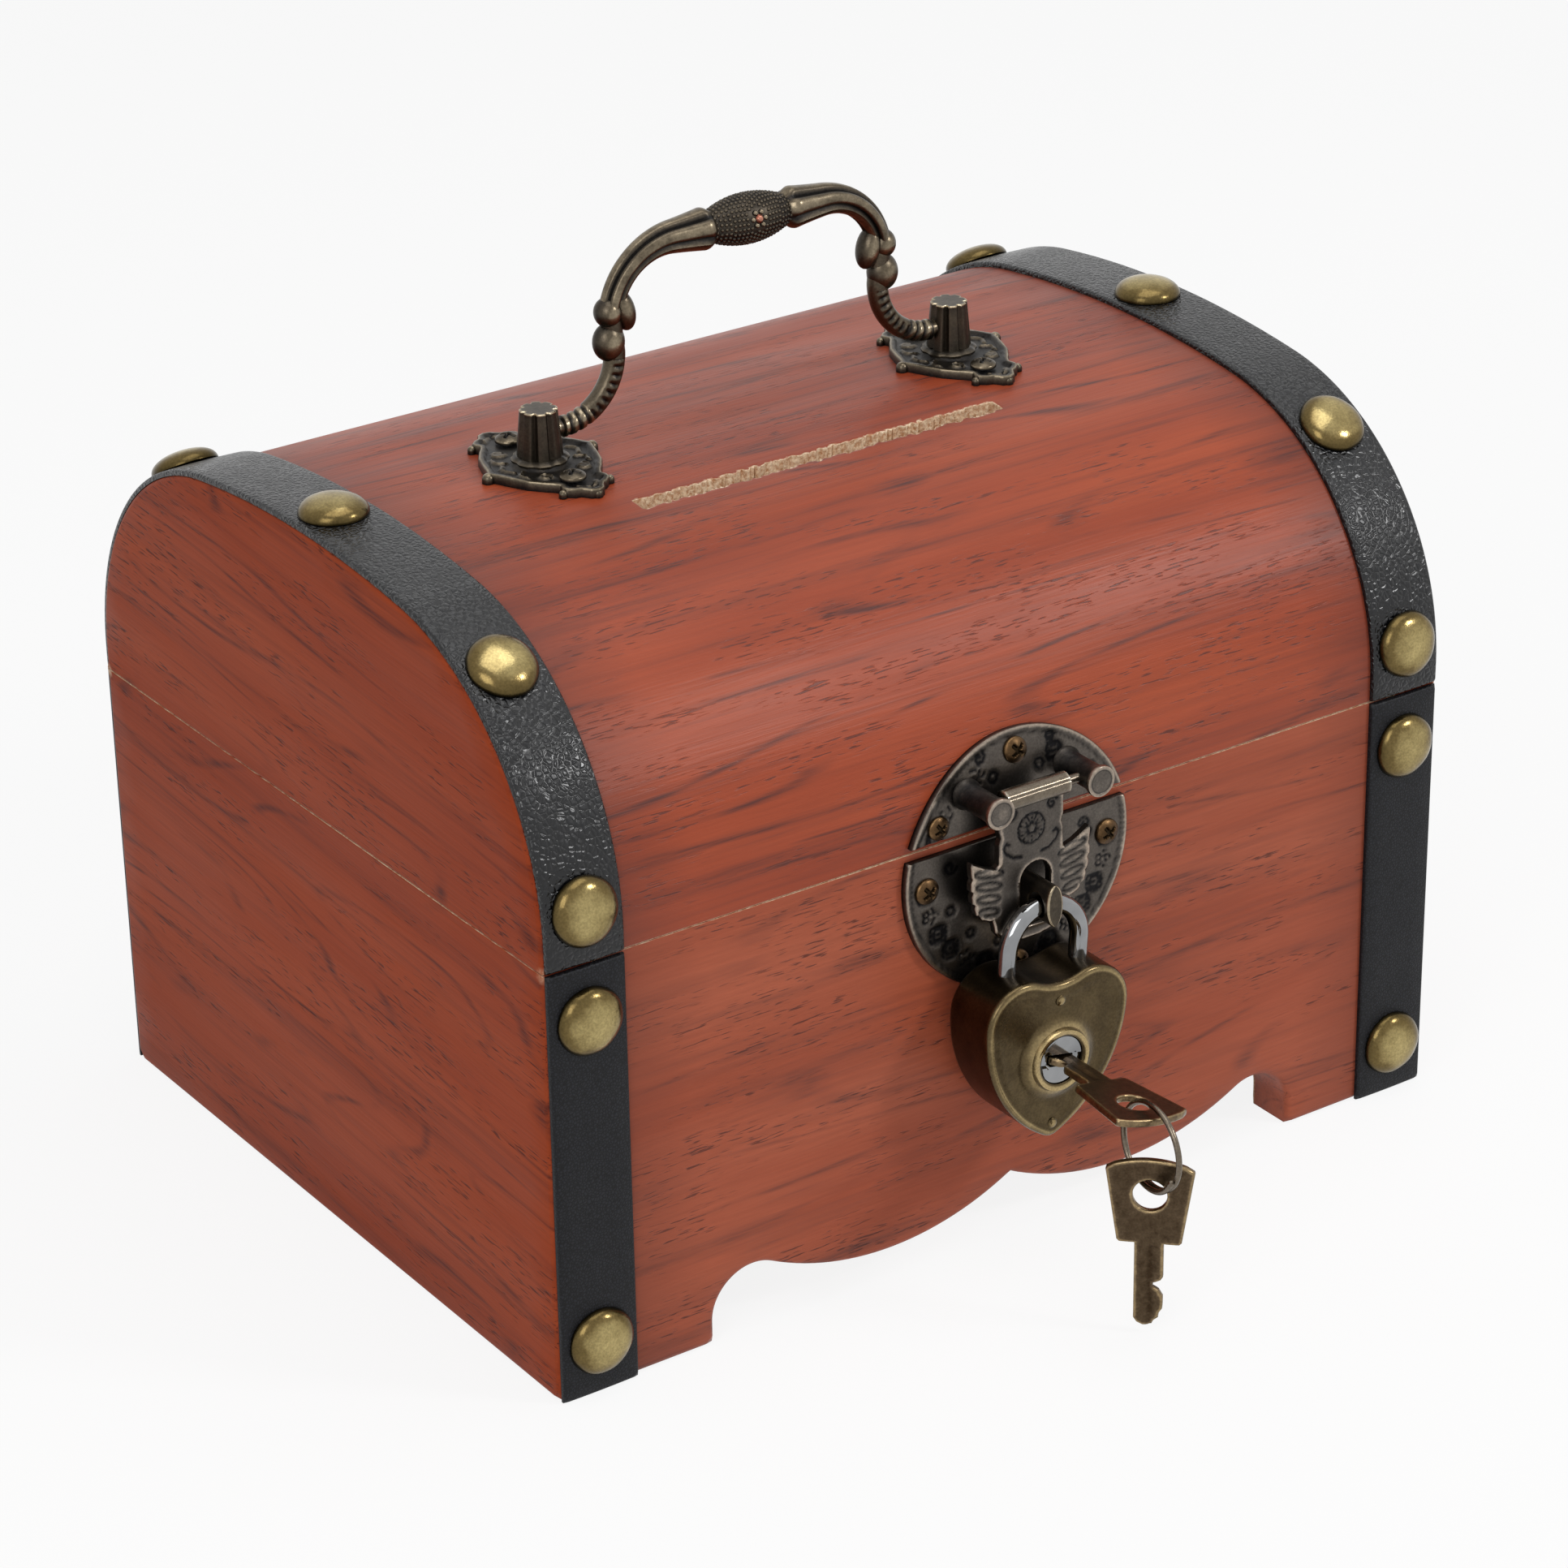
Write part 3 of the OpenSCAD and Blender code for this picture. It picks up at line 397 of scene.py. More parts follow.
def stainedWood(name, grainAxis, base, dark, pale, ringMm, slant=0.0, smudge=0.0, shine=0.25, lines=0.8):
    # Soft pale timber under a red-brown wiping stain. The stain pools in the pores and the
    # late wood, so the ring lines are purplish and the pores are short dark dashes; a thin
    # satin lacquer lies over it.
    material, add, place = newMaterial(name)
    slanted = add("Mapping", Vector=place, Rotation=(slant, 0, 0) if grainAxis == "y" else (0, 0, slant))

    def grain(lengthMm, widthMm, detail=2.0, roughness=0.5):
        # noise that runs many times further along the board than across it
        scale = [1 / (widthMm * mm)] * 3
        scale["xy".index(grainAxis)] = 1 / (lengthMm * mm)
        stretched = add("Mapping", Vector=slanted, Scale=scale)
        return add("TexNoise", Vector=stretched, Scale=1.0, Detail=detail, Roughness=roughness)

    tone, fine, patch = grain(120, 16, 3.0), grain(14, 0.5, 3.0, 0.6), grain(30, 5.5)
    outside = add("Mix", add("MapRange", tone, 0.34, 0.66), colour(base), colour(pale), **colours)
    # growth rings, cut at a slant: contour lines of a slow noise, broken and feathered
    swirl = add("Math", grain(ringMm, 24, 1.2, 0.4), 12.0, **multiply)
    ring = add("MapRange", add("Math", swirl, 0.5, operation="PINGPONG"), 0.13, 0.02)
    broken = add("Math", add("MapRange", grain(26, 4, 3.0), 0.44, 0.62),
                 add("MapRange", fine, 0.36, 0.6, 0.3), **multiply)
    ringLine = add("Math", ring, broken, **multiply)
    streak = add("Math", add("MapRange", grain(95, 2.4, 4.0, 0.58), 0.50, 0.70),
                 add("MapRange", fine, 0.40, 0.62, 0.3), **multiply)
    pores = add("Math", add("MapRange", grain(3.6, 0.30, 1.0), 0.60, 0.68),
                add("MapRange", patch, 0.47, 0.58), **multiply)
    marks = ((ringLine, lines, dark), (streak, lines * 0.75, dark), (pores, 0.72, "#3f1d1a"))
    for mark, amount, tint in marks:
        outside = add("Mix", add("Math", mark, amount, **multiply), outside, colour(tint), **colours)
    outside = add("VectorMath", outside, add("MapRange", fine, 0.3, 0.7, 0.91, 1.06), **scaled)
    if smudge:
        # stain rubbed on thicker beside the straps, metres out from the middle
        reach = add("Math", add("SeparateXYZ", place), operation="ABSOLUTE")
        wavy = add("Math", tone, 0.012, reach, **multiplyAdd)
        rubbedOn = add("MapRange", wavy, 0.064, 0.080, 0.0, smudge)
        outside = add("Mix", rubbedOn, outside, colour("#55261d"), **colours)
    # worn marks raw timber: 1 for the planed inner faces, less for the torn grain of the sawn slot and the
    # rubbed edges of the seam. The torn grain's pale tone is lifted almost to white: partly the raw timber,
    # partly painted light in the shaded slot.
    worn = add("Attribute", attribute_name="worn").outputs["Fac"]
    chips = add("TexNoise", Vector=place, Scale=1 / (0.7 * mm), Detail=4.0, Roughness=0.7)
    planed = add("Mix", add("MapRange", tone, 0.3, 0.7), colour("#c79a68"), colour("#d8b07e"), **colours)
    planed = add("Mix", add("MapRange", streak, 0.0, 1.0), planed, colour("#a87a4c"), **colours)
    planed = add("VectorMath", planed, add("MapRange", fine, 0.3, 0.7, 0.9, 1.05), **scaled)
    tornGrainAndPaintedLight = add("Mix", add("MapRange", chips, 0.36, 0.62), colour("#c08c64"), colour("#ffe8c8"), **colours)
    raw = add("Mix", add("MapRange", worn, 0.9, 0.98), tornGrainAndPaintedLight, planed, **colours)
    relief = add("Math", pores, -1.2, fine, **multiplyAdd)
    splinters = add("Math", worn, chips, **multiply)
    splinters = add("Math", add("MapRange", worn, 0.98, 0.85), splinters, **multiply)
    height = add("Math", splinters, 5.0, relief, **multiplyAdd)
    shader = add("BsdfPrincipled", Specular_IOR_Level=shine,
                 Base_Color=add("Mix", add("MapRange", worn, 0.0, 0.8), outside, raw, **colours),
                 Roughness=add("MapRange", grain(60, 9, 3.0), 0.3, 0.7, 0.36, 0.48),
                 Normal=add("Bump", Strength=0.55, Distance=0.00009, Height=height))
    add("OutputMaterial", Surface=shader)
    return material


def leather(name, grainMm, strength, roughness, base, shine):
    # Black bonded leather with a pressed grain of small pebbles under a clear finish: the
    # lamps catch each pebble as a bright point where it turns towards them.
    material, add, place = newMaterial(name)
    wobble = add("TexNoise", Vector=place, Scale=1 / (1.6 * mm), Detail=2.0).outputs["Color"]
    shifted = add("VectorMath", wobble, [0.5 * mm] * 3, place, **multiplyAdd)
    cells = add("TexVoronoi", feature="DISTANCE_TO_EDGE", Vector=shifted, Scale=1 / (grainMm * mm))
    pebble = add("MapRange", cells, 0.0, 0.32, interpolation_type="SMOOTHSTEP")
    dust = add("TexNoise", Vector=place, Scale=1 / (9 * mm), Detail=4.0)
    shader = add("BsdfPrincipled", Specular_IOR_Level=shine,
                 Base_Color=add("Mix", pebble, colour("#08080a"), colour(base), **colours),
                 Roughness=add("MapRange", dust, 0.3, 0.7, roughness - 0.04, roughness + 0.07),
                 Normal=add("Bump", Strength=strength, Distance=0.0002, Height=pebble))
    add("OutputMaterial", Surface=shader)
    return material


def agedMetal(name, patina, metal, bright, smoothest, dullest, patchMm, spread=0.5):
    # Plated die casting, toned dark and rubbed back: hollows keep the toning, and worn ridges and rims show
    # the metal. The palest tone on the most rubbed spots is partly bare metal and partly a painted highlight.
    material, add, place = newMaterial(name)
    worn = add("Attribute", attribute_name="worn").outputs["Fac"]
    patch = add("TexNoise", Vector=place, Scale=1 / (patchMm * mm), Detail=5.0, Roughness=0.65)
    speck = add("TexNoise", Vector=place, Scale=1 / (0.35 * mm), Detail=2.0)
    rub = add("Math", patch, spread, worn, **multiplyAdd)
    share = add("MapRange", rub, 0.12 + spread * 0.45, 0.75 + spread * 0.55)
    glint = add("MapRange", rub, 0.75 + spread * 0.35, 1.1 + spread * 0.5)
    tone = add("Mix", share, colour(patina), colour(metal), **colours)
    # the palest tone: rubbed metal and, in part, a painted highlight
    tone = add("Mix", glint, tone, colour(bright), **colours)
    grime = add("MapRange", speck, 0.35, 0.65, 0.82, 1.08)
    shader = add("BsdfPrincipled", Metallic=1.0, Base_Color=add("VectorMath", tone, grime, **scaled),
                 Roughness=add("MapRange", rub, 0.3, 1.2, dullest, smoothest),
                 Normal=add("Bump", Strength=0.3, Distance=0.00005, Height=speck))
    add("OutputMaterial", Surface=shader)
    return material


def platedSteel(name, tint, paleTintWithDarkReflection, roughness):
    # Chromed steel: near-mirror, with faint hairlines that soften the glint. Both of its tones are far darker
    # than chrome's own colour: painted dark reflections of the surroundings.
    material, add, place = newMaterial(name)
    hair = add("TexNoise", Vector=place, Scale=1 / (5 * mm), Detail=3.0)
    shader = add("BsdfPrincipled", Metallic=1.0,
                 Base_Color=add("Mix", hair, colour(tint), colour(paleTintWithDarkReflection), **colours),
                 Roughness=add("MapRange", hair, 0.3, 0.7, roughness * 0.7, roughness * 1.4))
    add("OutputMaterial", Surface=shader)
    return material


lidWood = stainedWood("stained timber, lid", "x", "#8c381d", "#452320", "#a3492a", 240,
                      smudge=0.6, shine=0.32, lines=0.9)
# the front is the lid's stain in lighter colours: painted light, making up for the lamps lighting the front
# less than the lid
frontWoodPaintedLighter = stainedWood("stained timber, front", "x", "#9a4a31", "#54302b", "#a9583e", 240,
                        slant=0.03, smudge=0.45, shine=0.2, lines=0.7)
endWood = stainedWood("stained timber, ends", "y", "#8e3a1e", "#48221f", "#9c4628", 130,
                      slant=-0.05, shine=0.05, lines=0.8)
strapLeather = leather("pebbled black leather", 0.95, 0.5, 0.25, "#0d0e11", 0.42)
flatLeather = leather("smooth black leather", 0.5, 0.2, 0.46, "#1e1f24", 0.22)
tackBrass = agedMetal("aged brass, tacks", "#3a301b", "#75643f", "#c2b07a", 0.17, 0.3, 4.5, 0.6)
screwBrass = agedMetal("toned brass, screws", "#2e2418", "#654d34", "#9a7b55", 0.3, 0.5, 1.2, 0.6)
gunmetal = agedMetal("gunmetal toned casting", "#1d1c1d", "#69625b", "#a8998a", 0.28, 0.42, 3.0)
bronze = agedMetal("antique bronze casting", "#2a2827", "#625849", "#a89a82", 0.26, 0.44, 2.4, 0.55)
copper = agedMetal("copper stud", "#4a2a22", "#8a5444", "#b98672", 0.3, 0.45, 1.0, 0.4)
lockBrass = agedMetal("olive lacquered brass, lock", "#30261a", "#6c5d42", "#b09b70", 0.2, 0.34, 4.5, 0.6)
keyBrass = agedMetal("mottled key brass", "#392c1f", "#675744", "#a18b66", 0.3, 0.5, 1.3, 0.9)
wireSteel = agedMetal("drawn steel wire", "#453d36", "#837869", "#c2b9aa", 0.2, 0.32, 2.0)
# chrome darkened with painted dark reflections
chromeWithPaintedDarkReflection = platedSteel("chromed steel", "#6d6e70", "#a6a7a8", 0.07)
print("materials made")


def repeatTree():
    # one item set on every place, laid by its "lie", sized by its "size" and turned at random
    tree = bpy.data.node_groups.new("seatedFasteners", "GeometryNodeTree")
    for name, kind in (("Places", "Geometry"), ("Item", "Object"), ("Item size", "Float"),
                       ("Spin", "Float"), ("Finish", "Material")):
        tree.interface.new_socket(name, in_out="INPUT", socket_type="NodeSocket" + kind)
    tree.interface.new_socket("Result", in_out="OUTPUT", socket_type="NodeSocketGeometry")
    add = partial(addNode, tree)
    given = add("NodeGroupInput").outputs
    item = add("GeometryNodeObjectInfo", Object=given["Item"]).outputs["Geometry"]
    lie = add("GeometryNodeInputNamedAttribute", data_type="FLOAT_VECTOR", Name="lie")
    size = add("GeometryNodeInputNamedAttribute", data_type="FLOAT", Name="size")
    seated = add("GeometryNodeInstanceOnPoints", Points=given["Places"], Instance=item,
                 Rotation=add("FunctionNodeEulerToRotation", Euler=lie.outputs["Attribute"]),
                 Scale=add("Math", given["Item size"], size.outputs["Attribute"], **multiply))
    spin = add("FunctionNodeRandomValue", data_type="FLOAT_VECTOR", Seed=11,
               Max=add("CombineXYZ", Z=given["Spin"]))
    spun = add("GeometryNodeRotateInstances", Instances=seated, Rotation=spin, Local_Space=True)
    solid = add("GeometryNodeRealizeInstances", Geometry=spun)
    add("NodeGroupOutput", Result=add("GeometryNodeSetMaterial", Geometry=solid, Material=given["Finish"]))
    return tree


seatedFasteners = repeatTree()


def seatAll(name, item, places, material, body, slot, sizes=None):
    # item: a mesh part about its own +Z; places: matrices in millimetres
    source = build(name + "Item", [item], material, 35)
    host = bpy.data.meshes.new(name + "Places")
    host.from_pydata([tuple(p.to_translation() * mm) for p in places], [], [])
    lie = host.attributes.new("lie", "FLOAT_VECTOR", "POINT")
    lie.data.foreach_set("vector", [c for p in places for c in p.to_euler()])
    size = host.attributes.new("size", "FLOAT", "POINT")
    size.data.foreach_set("value", sizes or [1.0] * len(places))
    holder = addObject(name, host)
    modifier = holder.modifiers.new("seated", "NODES")
    modifier.node_group = seatedFasteners
    given = {"Item": source, "Item size": 1.0, "Spin": 6.28, "Finish": material}
    for socket in seatedFasteners.interface.items_tree:
        if socket.name in given:
            modifier[socket.identifier] = given[socket.name]
    bpy.context.view_layer.update()
    graph = bpy.context.evaluated_depsgraph_get()
    mesh = bpy.data.meshes.new_from_object(holder.evaluated_get(graph), depsgraph=graph)
    holder.modifiers.clear()
    holder.data = mesh
    bpy.data.objects.remove(source)
    smooth(mesh, 35)
    settle(holder, body, slot)


board = {"rims": [0.12, 0.35, 0.9], "edgeRound": 0.9, "innerRound": 0.3, "seamRound": 0.1, "seamBand": 0.95}
skirt = {"archX": 49.3, "archR": 7.5, "archZ": 3.8, "lobeX": 23.0, "lobeLow": 4.8}
floorPanel = {"top": 21.0, "underside": 16.0}


def skirtOutline():
    s = skirt
    k = s["lobeLow"] - s["archZ"]
    lobeR = ((s["archX"] - s["lobeX"]) ** 2 + k * k - s["archR"] ** 2) / (2 * (s["archR"] - k))
    lobeZ = s["lobeLow"] + lobeR
    join = math.degrees(math.atan2(lobeZ - s["archZ"], s["lobeX"] - s["archX"]))
    cusp = 270 - math.degrees(math.asin(s["lobeX"] / lobeR))
    half = [(s["archX"] + s["archR"], 0)]
    half += arcPoints(s["archX"], s["archZ"], s["archR"], 0, join, 24)
    half += arcPoints(s["lobeX"], lobeZ, lobeR, join + 180, cusp, 28)
    wide, high = chest["halfLength"] - chest["boardThickness"], chest["bodyHeight"]
    return [(wide, high), (-wide, high), (-wide, 0)] + [(-x, z) for x, z in half] + \
        [(x, z) for x, z in reversed(half[:-1])] + [(wide, 0)]


def boardTop(seam):
    # edges are rounded, but crisp and rubbed pale along the seam
    def top(p, d):
        x, fromSeam = p[:, 0], np.abs(p[:, 1] - seam)
        near = fromSeam < board["seamBand"]
        rubbed = unit(0.6 + 0.4 * np.sin(x * 1.7) * np.sin(x * 0.31) - 0.25 * np.sin(x * 0.07))
        h = np.where(near, -roundEdge(d, board["seamRound"]), -roundEdge(d, board["edgeRound"]))
        return h, np.where(near & (fromSeam < 0.1), rubbed, 0.0)
    return top


def boardBottom(thickness, edge=board["innerRound"]):
    return lambda p, d: (-thickness + roundEdge(d, edge), 1.0)


def makeBox():
    t, high, deep = chest["boardThickness"], chest["bodyHeight"], chest["halfDepth"]
    for name, sign in (("frontBoard", -1), ("backBoard", 1)):
        part = slab([skirtOutline()], 4.0, board["rims"], boardTop(high), boardBottom(t, 0.4),
                    onFace("y", sign), wallWear=0.0)
        addPiece(name, [part], frontWoodPaintedLighter, "chest", "wood", angle=50)
    for side, sign in sides:
        part = slab([rectangle(-deep, 0, deep, high)], 5.0, board["rims"], boardTop(high), boardBottom(t),
                    onFace("x", sign), wallWear=0.0)
        addPiece("endBoard" + side, [part], endWood, "chest", "wood", angle=50)
    wide, inner = chest["halfLength"] - t, deep - t
    part = slab([rectangle(-wide, -inner, wide, inner)], 6.0, [0.3],
                lambda p, d: (floorPanel["top"] - roundEdge(d, 0.3), 1.0),
                level(floorPanel["underside"], 1.0), asDrawn, wallWear=1.0)
    addPiece("floorBoard", [part], frontWoodPaintedLighter, "chest", "wood", angle=50)
    print("box made")


coinSlot = {"x": -3.0, "length": 68.0, "width": 3.0, "y": -21.0, "ragged": 1.15}
lidBoard = {"rims": [0.15, 0.4, 0.9], "edgeRound": 0.7, "slotRound": 0.25, "tornAndPaintedLightWear": 0.85}


def makeLid():
    wide = chest["halfLength"] - chest["boardThickness"]
    middle = lidStation(coinSlot["y"], crown - 1.2)
    x, hl, hw = coinSlot["x"], coinSlot["length"] / 2, coinSlot["width"] / 2
    slot = loopPoints(rectangle(x - hl, middle - hw, x + hl, middle + hw), 0.42)
    dice = np.random.default_rng(4)
    ragged = (dice.random(slot.shape) - 0.5) * np.array([0.12, coinSlot["ragged"]])
    slot += ragged * (0.35 + 0.65 * dice.random((len(slot), 1)))
    outline = rectangle(-wide, 0, wide, lidArc)

    def top(p, d):
        slotD, outerD = (lineDistance(p, [loop], True) for loop in (slot, outline))
        edge = np.minimum(p[:, 1], lidArc - p[:, 1])
        near = edge < board["seamBand"]
        h = np.where(near, -roundEdge(outerD, board["seamRound"]),
                     -roundEdge(outerD, lidBoard["edgeRound"]))
        # the slot rim and the seam edges take the torn-grain tone, which is partly painted light
        tornGrainAndPaintedLight = (slotD < 0.02) | (edge < 0.1)
        return h - roundEdge(slotD, lidBoard["slotRound"]) * 0.5, np.where(tornGrainAndPaintedLight, lidBoard["tornAndPaintedLightWear"], 0.0)

    part = slab([outline, slot], 3.0, lidBoard["rims"], top, boardBottom(chest["lidThickness"]), onLid,
                wallWear=(1.0, lidBoard["tornAndPaintedLightWear"]))
    addPiece("lidBoard", [part], lidWood, "lid", "wood",
             "lid_board_front", "lid_board_back", "lid_slot_end_left", "lid_slot_end_right", angle=50)
    profile = list(zip(*lidAt(np.linspace(0, lidArc, 160))[:2]))
    for side, sign in sides:
        part = slab([profile], 5.0, board["rims"], boardTop(chest["bodyHeight"] + chest["seamGap"]),
                    boardBottom(chest["boardThickness"]), onFace("x", sign), wallWear=0.0)
        addPiece("lidEnd" + side, [part], endWood, "lid", "wood", angle=50)
    print("lid made")


strap = {"edgeRound": 0.45, "seamHalfGap": 0.2, "crown": 0.12, "rims": [0.08, 0.2, 0.45]}


def makeStraps():
    half, gap = chest["strapWidth"] / 2, strap["seamHalfGap"]

    def top(p, d):
        h = chest["strapThickness"] - roundEdge(d, strap["edgeRound"])
        return h - strap["crown"] * (1 - unit(1 - (p[:, 0] / half) ** 2)), 0.0

    def makeStrap(name, centre, low, high, step, ground, material, body):
        part = slab([rectangle(-half, low, half, high)], step, strap["rims"], top, level(),
                    lambda u, v, h: ground(u + centre, v, h))
        addPiece(name, [part], material, body, "leather", angle=60)

    for side, sign in sides:
        makeStrap("lidStrap" + side, sign * chest["strapCentre"], gap, lidArc - gap, 1.6, onLid,
                  strapLeather, "lid")
    for side, sign in sides:
        for face, out in (("Front", -1), ("Back", 1)):
            makeStrap("bodyStrap" + face + side, sign * chest["strapCentre"], 0, chest["bodyHeight"] - gap,
                      2.4, onFace("y", out), flatLeather, "chest")
    print("straps made")


tack = {"radius": 5.5, "height": 2.7, "lowZ": 9.0, "highZ": 63.5, "slopes": (7.0, 58.0)}


def makeTacks():
    r, h, thick = tack["radius"], tack["height"], chest["strapThickness"]
    profile = [(0, h, 0.9)]
    for i in range(1, 13):
        a = i / 12 * math.pi / 2
        profile.append((r * math.sin(a) ** 0.93, h * math.cos(a) ** 0.9 if i < 12 else 0.16,
                        0.9 - 0.75 * (i / 12) ** 2))
    profile += [(r, 0.02, 0.1), (r * 0.9, 0.0, 0.0), (0, 0.0, 0.0)]
    dome = lathe(profile, 44, lambda a, z: 1 + 0.008 * math.sin(3 * a + 1) + 0.005 * math.sin(7 * a))
    xs = (-chest["strapCentre"], chest["strapCentre"])
    places = [along((x, s * (chest["halfDepth"] + thick), z), (0, s, 0))
              for x in xs for s in (-1, 1) for z in (tack["lowZ"], tack["highZ"])]
    seatAll("bodyTacks", dome, places, tackBrass, "chest", "tack_brass")
    sy, sz = chest["halfDepth"] - chest["shoulderRadius"], chest["bodyHeight"] + chest["lipHeight"]
    places = [along((x, 0, crown + thick), (0, 0, 1)) for x in xs]
    for x, s, slope in ((x, s, slope) for x in xs for s in (-1, 1) for slope in tack["slopes"]):
        y, z = polar(chest["shoulderRadius"] + thick, slope, sy, sz)
        c, n = polar(1, slope)
        places.append(along((x, s * y, z), (0, s * c, n)))
    seatAll("lidTacks", dome, places, tackBrass, "lid", "tack_brass")
    print("tacks made")


handle = {"x": -3.0, "y": -1.3, "postHalf": 39.0, "pivotUp": 5.6, "postHeight": 9.6, "postFoot": 3.8,
          "postTop": 2.95, "flutes": 8}
mount = {"halfX": 10.0, "halfY": 15.0, "thickness": 1.5, "screwOut": 9.3, "ball": 1.0, "turn": 5.0}


def mountOutline():
    # bulges from the side corner, pinches in beside the screw and swells again to the point
    edge = [(1, 0), (0.93, 0.10), (0.84, 0.25), (0.72, 0.42), (0.55, 0.56), (0.46, 0.62), (0.40, 0.68),
            (0.43, 0.74), (0.42, 0.80), (0.31, 0.86), (0.22, 0.88), (0.17, 0.92), (0.12, 0.97), (0, 1)]
    quarter = [(x * mount["halfX"], y * mount["halfY"]) for x, y in edge]
    half = quarter + [(-x, y) for x, y in reversed(quarter[1:-1])]
    return half + [(-x, -y) for x, y in half]


def makeMounts():
    strokes = []
    for sx in (-1, 1):
        strokes.append([(sx * 6.2, -1.6), (sx * 7.0, -0.6), (sx * 7.0, 0.6), (sx * 6.2, 1.6)])
        for sy in (-1, 1):
            strokes.append(spiral(sx * 3.6, sy * 6.0, 1.2, 1.3, sx * 0.9, sx * sy))
            strokes.append([(sx * 5.0, sy * 2.2), (sx * 6.3, sy * 3.2), (sx * 5.9, sy * 4.6)])
            strokes.append([(sx * 0.5, sy * 12.8), (sx * 1.4, sy * 12.2), (sx * 1.9, sy * 11.6)])

    def top(p, d):
        rim = unit((1.25 - d) / 0.35) * 0.5
        raised = 0.4 * np.sqrt(unit(1 - (lineDistance(p, strokes) / 0.36) ** 2))
        boss = 0.45 * unit((4.9 - np.hypot(p[:, 0], p[:, 1])) / 0.6)
        h = mount["thickness"] - 0.5 + np.maximum(np.maximum(rim, raised), boss) - roundEdge(d, 0.3)
        return h, 0.12 + 0.6 * unit(raised / 0.4) + 0.75 * bell(d - 0.25, 0.3)

    def flute(a, z):
        wave = max(0.0, math.cos(handle["flutes"] * a))
        return 1 - (0.2 * wave ** 1.6 if z > 2.05 else 0.05 * wave)

    foot, tip, tall = handle["postFoot"], handle["postTop"], handle["postHeight"]
    post = [(0, 0.5, 0), (foot + 0.7, 0.9, 0.2), (foot + 0.75, 1.6, 0.55), (foot + 0.1, 2.0, 0.2)]
    post += [(foot - (foot - tip) / tall * z, z, 0.35) for z in np.linspace(2.1, tall - 0.4, 14)]
    post += [(tip + 0.04, tall - 0.16, 1.1), (tip - 0.14, tall, 1.0), (tip - 0.5, tall, 0.45),
             (0, tall, 0.4)]
    c, s = polar(1, mount["turn"])
    balls = [(10.0, 0, 1), (-10.0, 0, 1), (0, 14.4, 0.8), (0, -14.4, 0.8)]
    balls[2:2] = [(sx * 4.5, sy * 11.6, 0.7) for sy in (1, -1) for sx in (1, -1)]
    for side, sign in sides:
        x = handle["x"] + sign * handle["postHalf"]

        def place(u, v, h):
            return onLid(c * u - s * v + x, lidArc / 2 + s * u + c * v + handle["y"], h)

        parts = [slab([mountOutline()], 0.42, [0.15, 0.3], top, level(), place)]
        for bx, by, size in balls:
            r = mount["ball"] * size
            rows = [(r * math.sin(a), r * 1.05 * math.cos(a), 1.0 - a * 0.4)
                    for a in np.linspace(0.2, 1.57, 7)]
            ball = lathe([(0, r * 1.05, 0.9)] + rows + [(r, -0.5, 0), (0, -0.5, 0)], 18)
            gx, gy, gz = place(*np.array([[bx], [by], [0.55]]))[0]
            parts.append(moved(ball, shift(gx, gy, gz)))
        parts.append(moved(lathe(post, 112, flute), shift(x, handle["y"], crown)))
        addPiece("handleMount" + side, parts, bronze, "lid", "bronze")
    print("handle mounts made")


bail = {"lowerSweep": 10.0, "upperSweep": 11.5, "height": 26.3, "legX": 24.9, "pin": 1.3, "arm": 1.75,
        "upper": 2.2, "flare": 3.7, "beadR": 4.15, "beadL": 16.0, "twistEnd": 7.6, "twistPitch": 1.55,
        "barEnd": 17.5, "barPitch": 1.4}


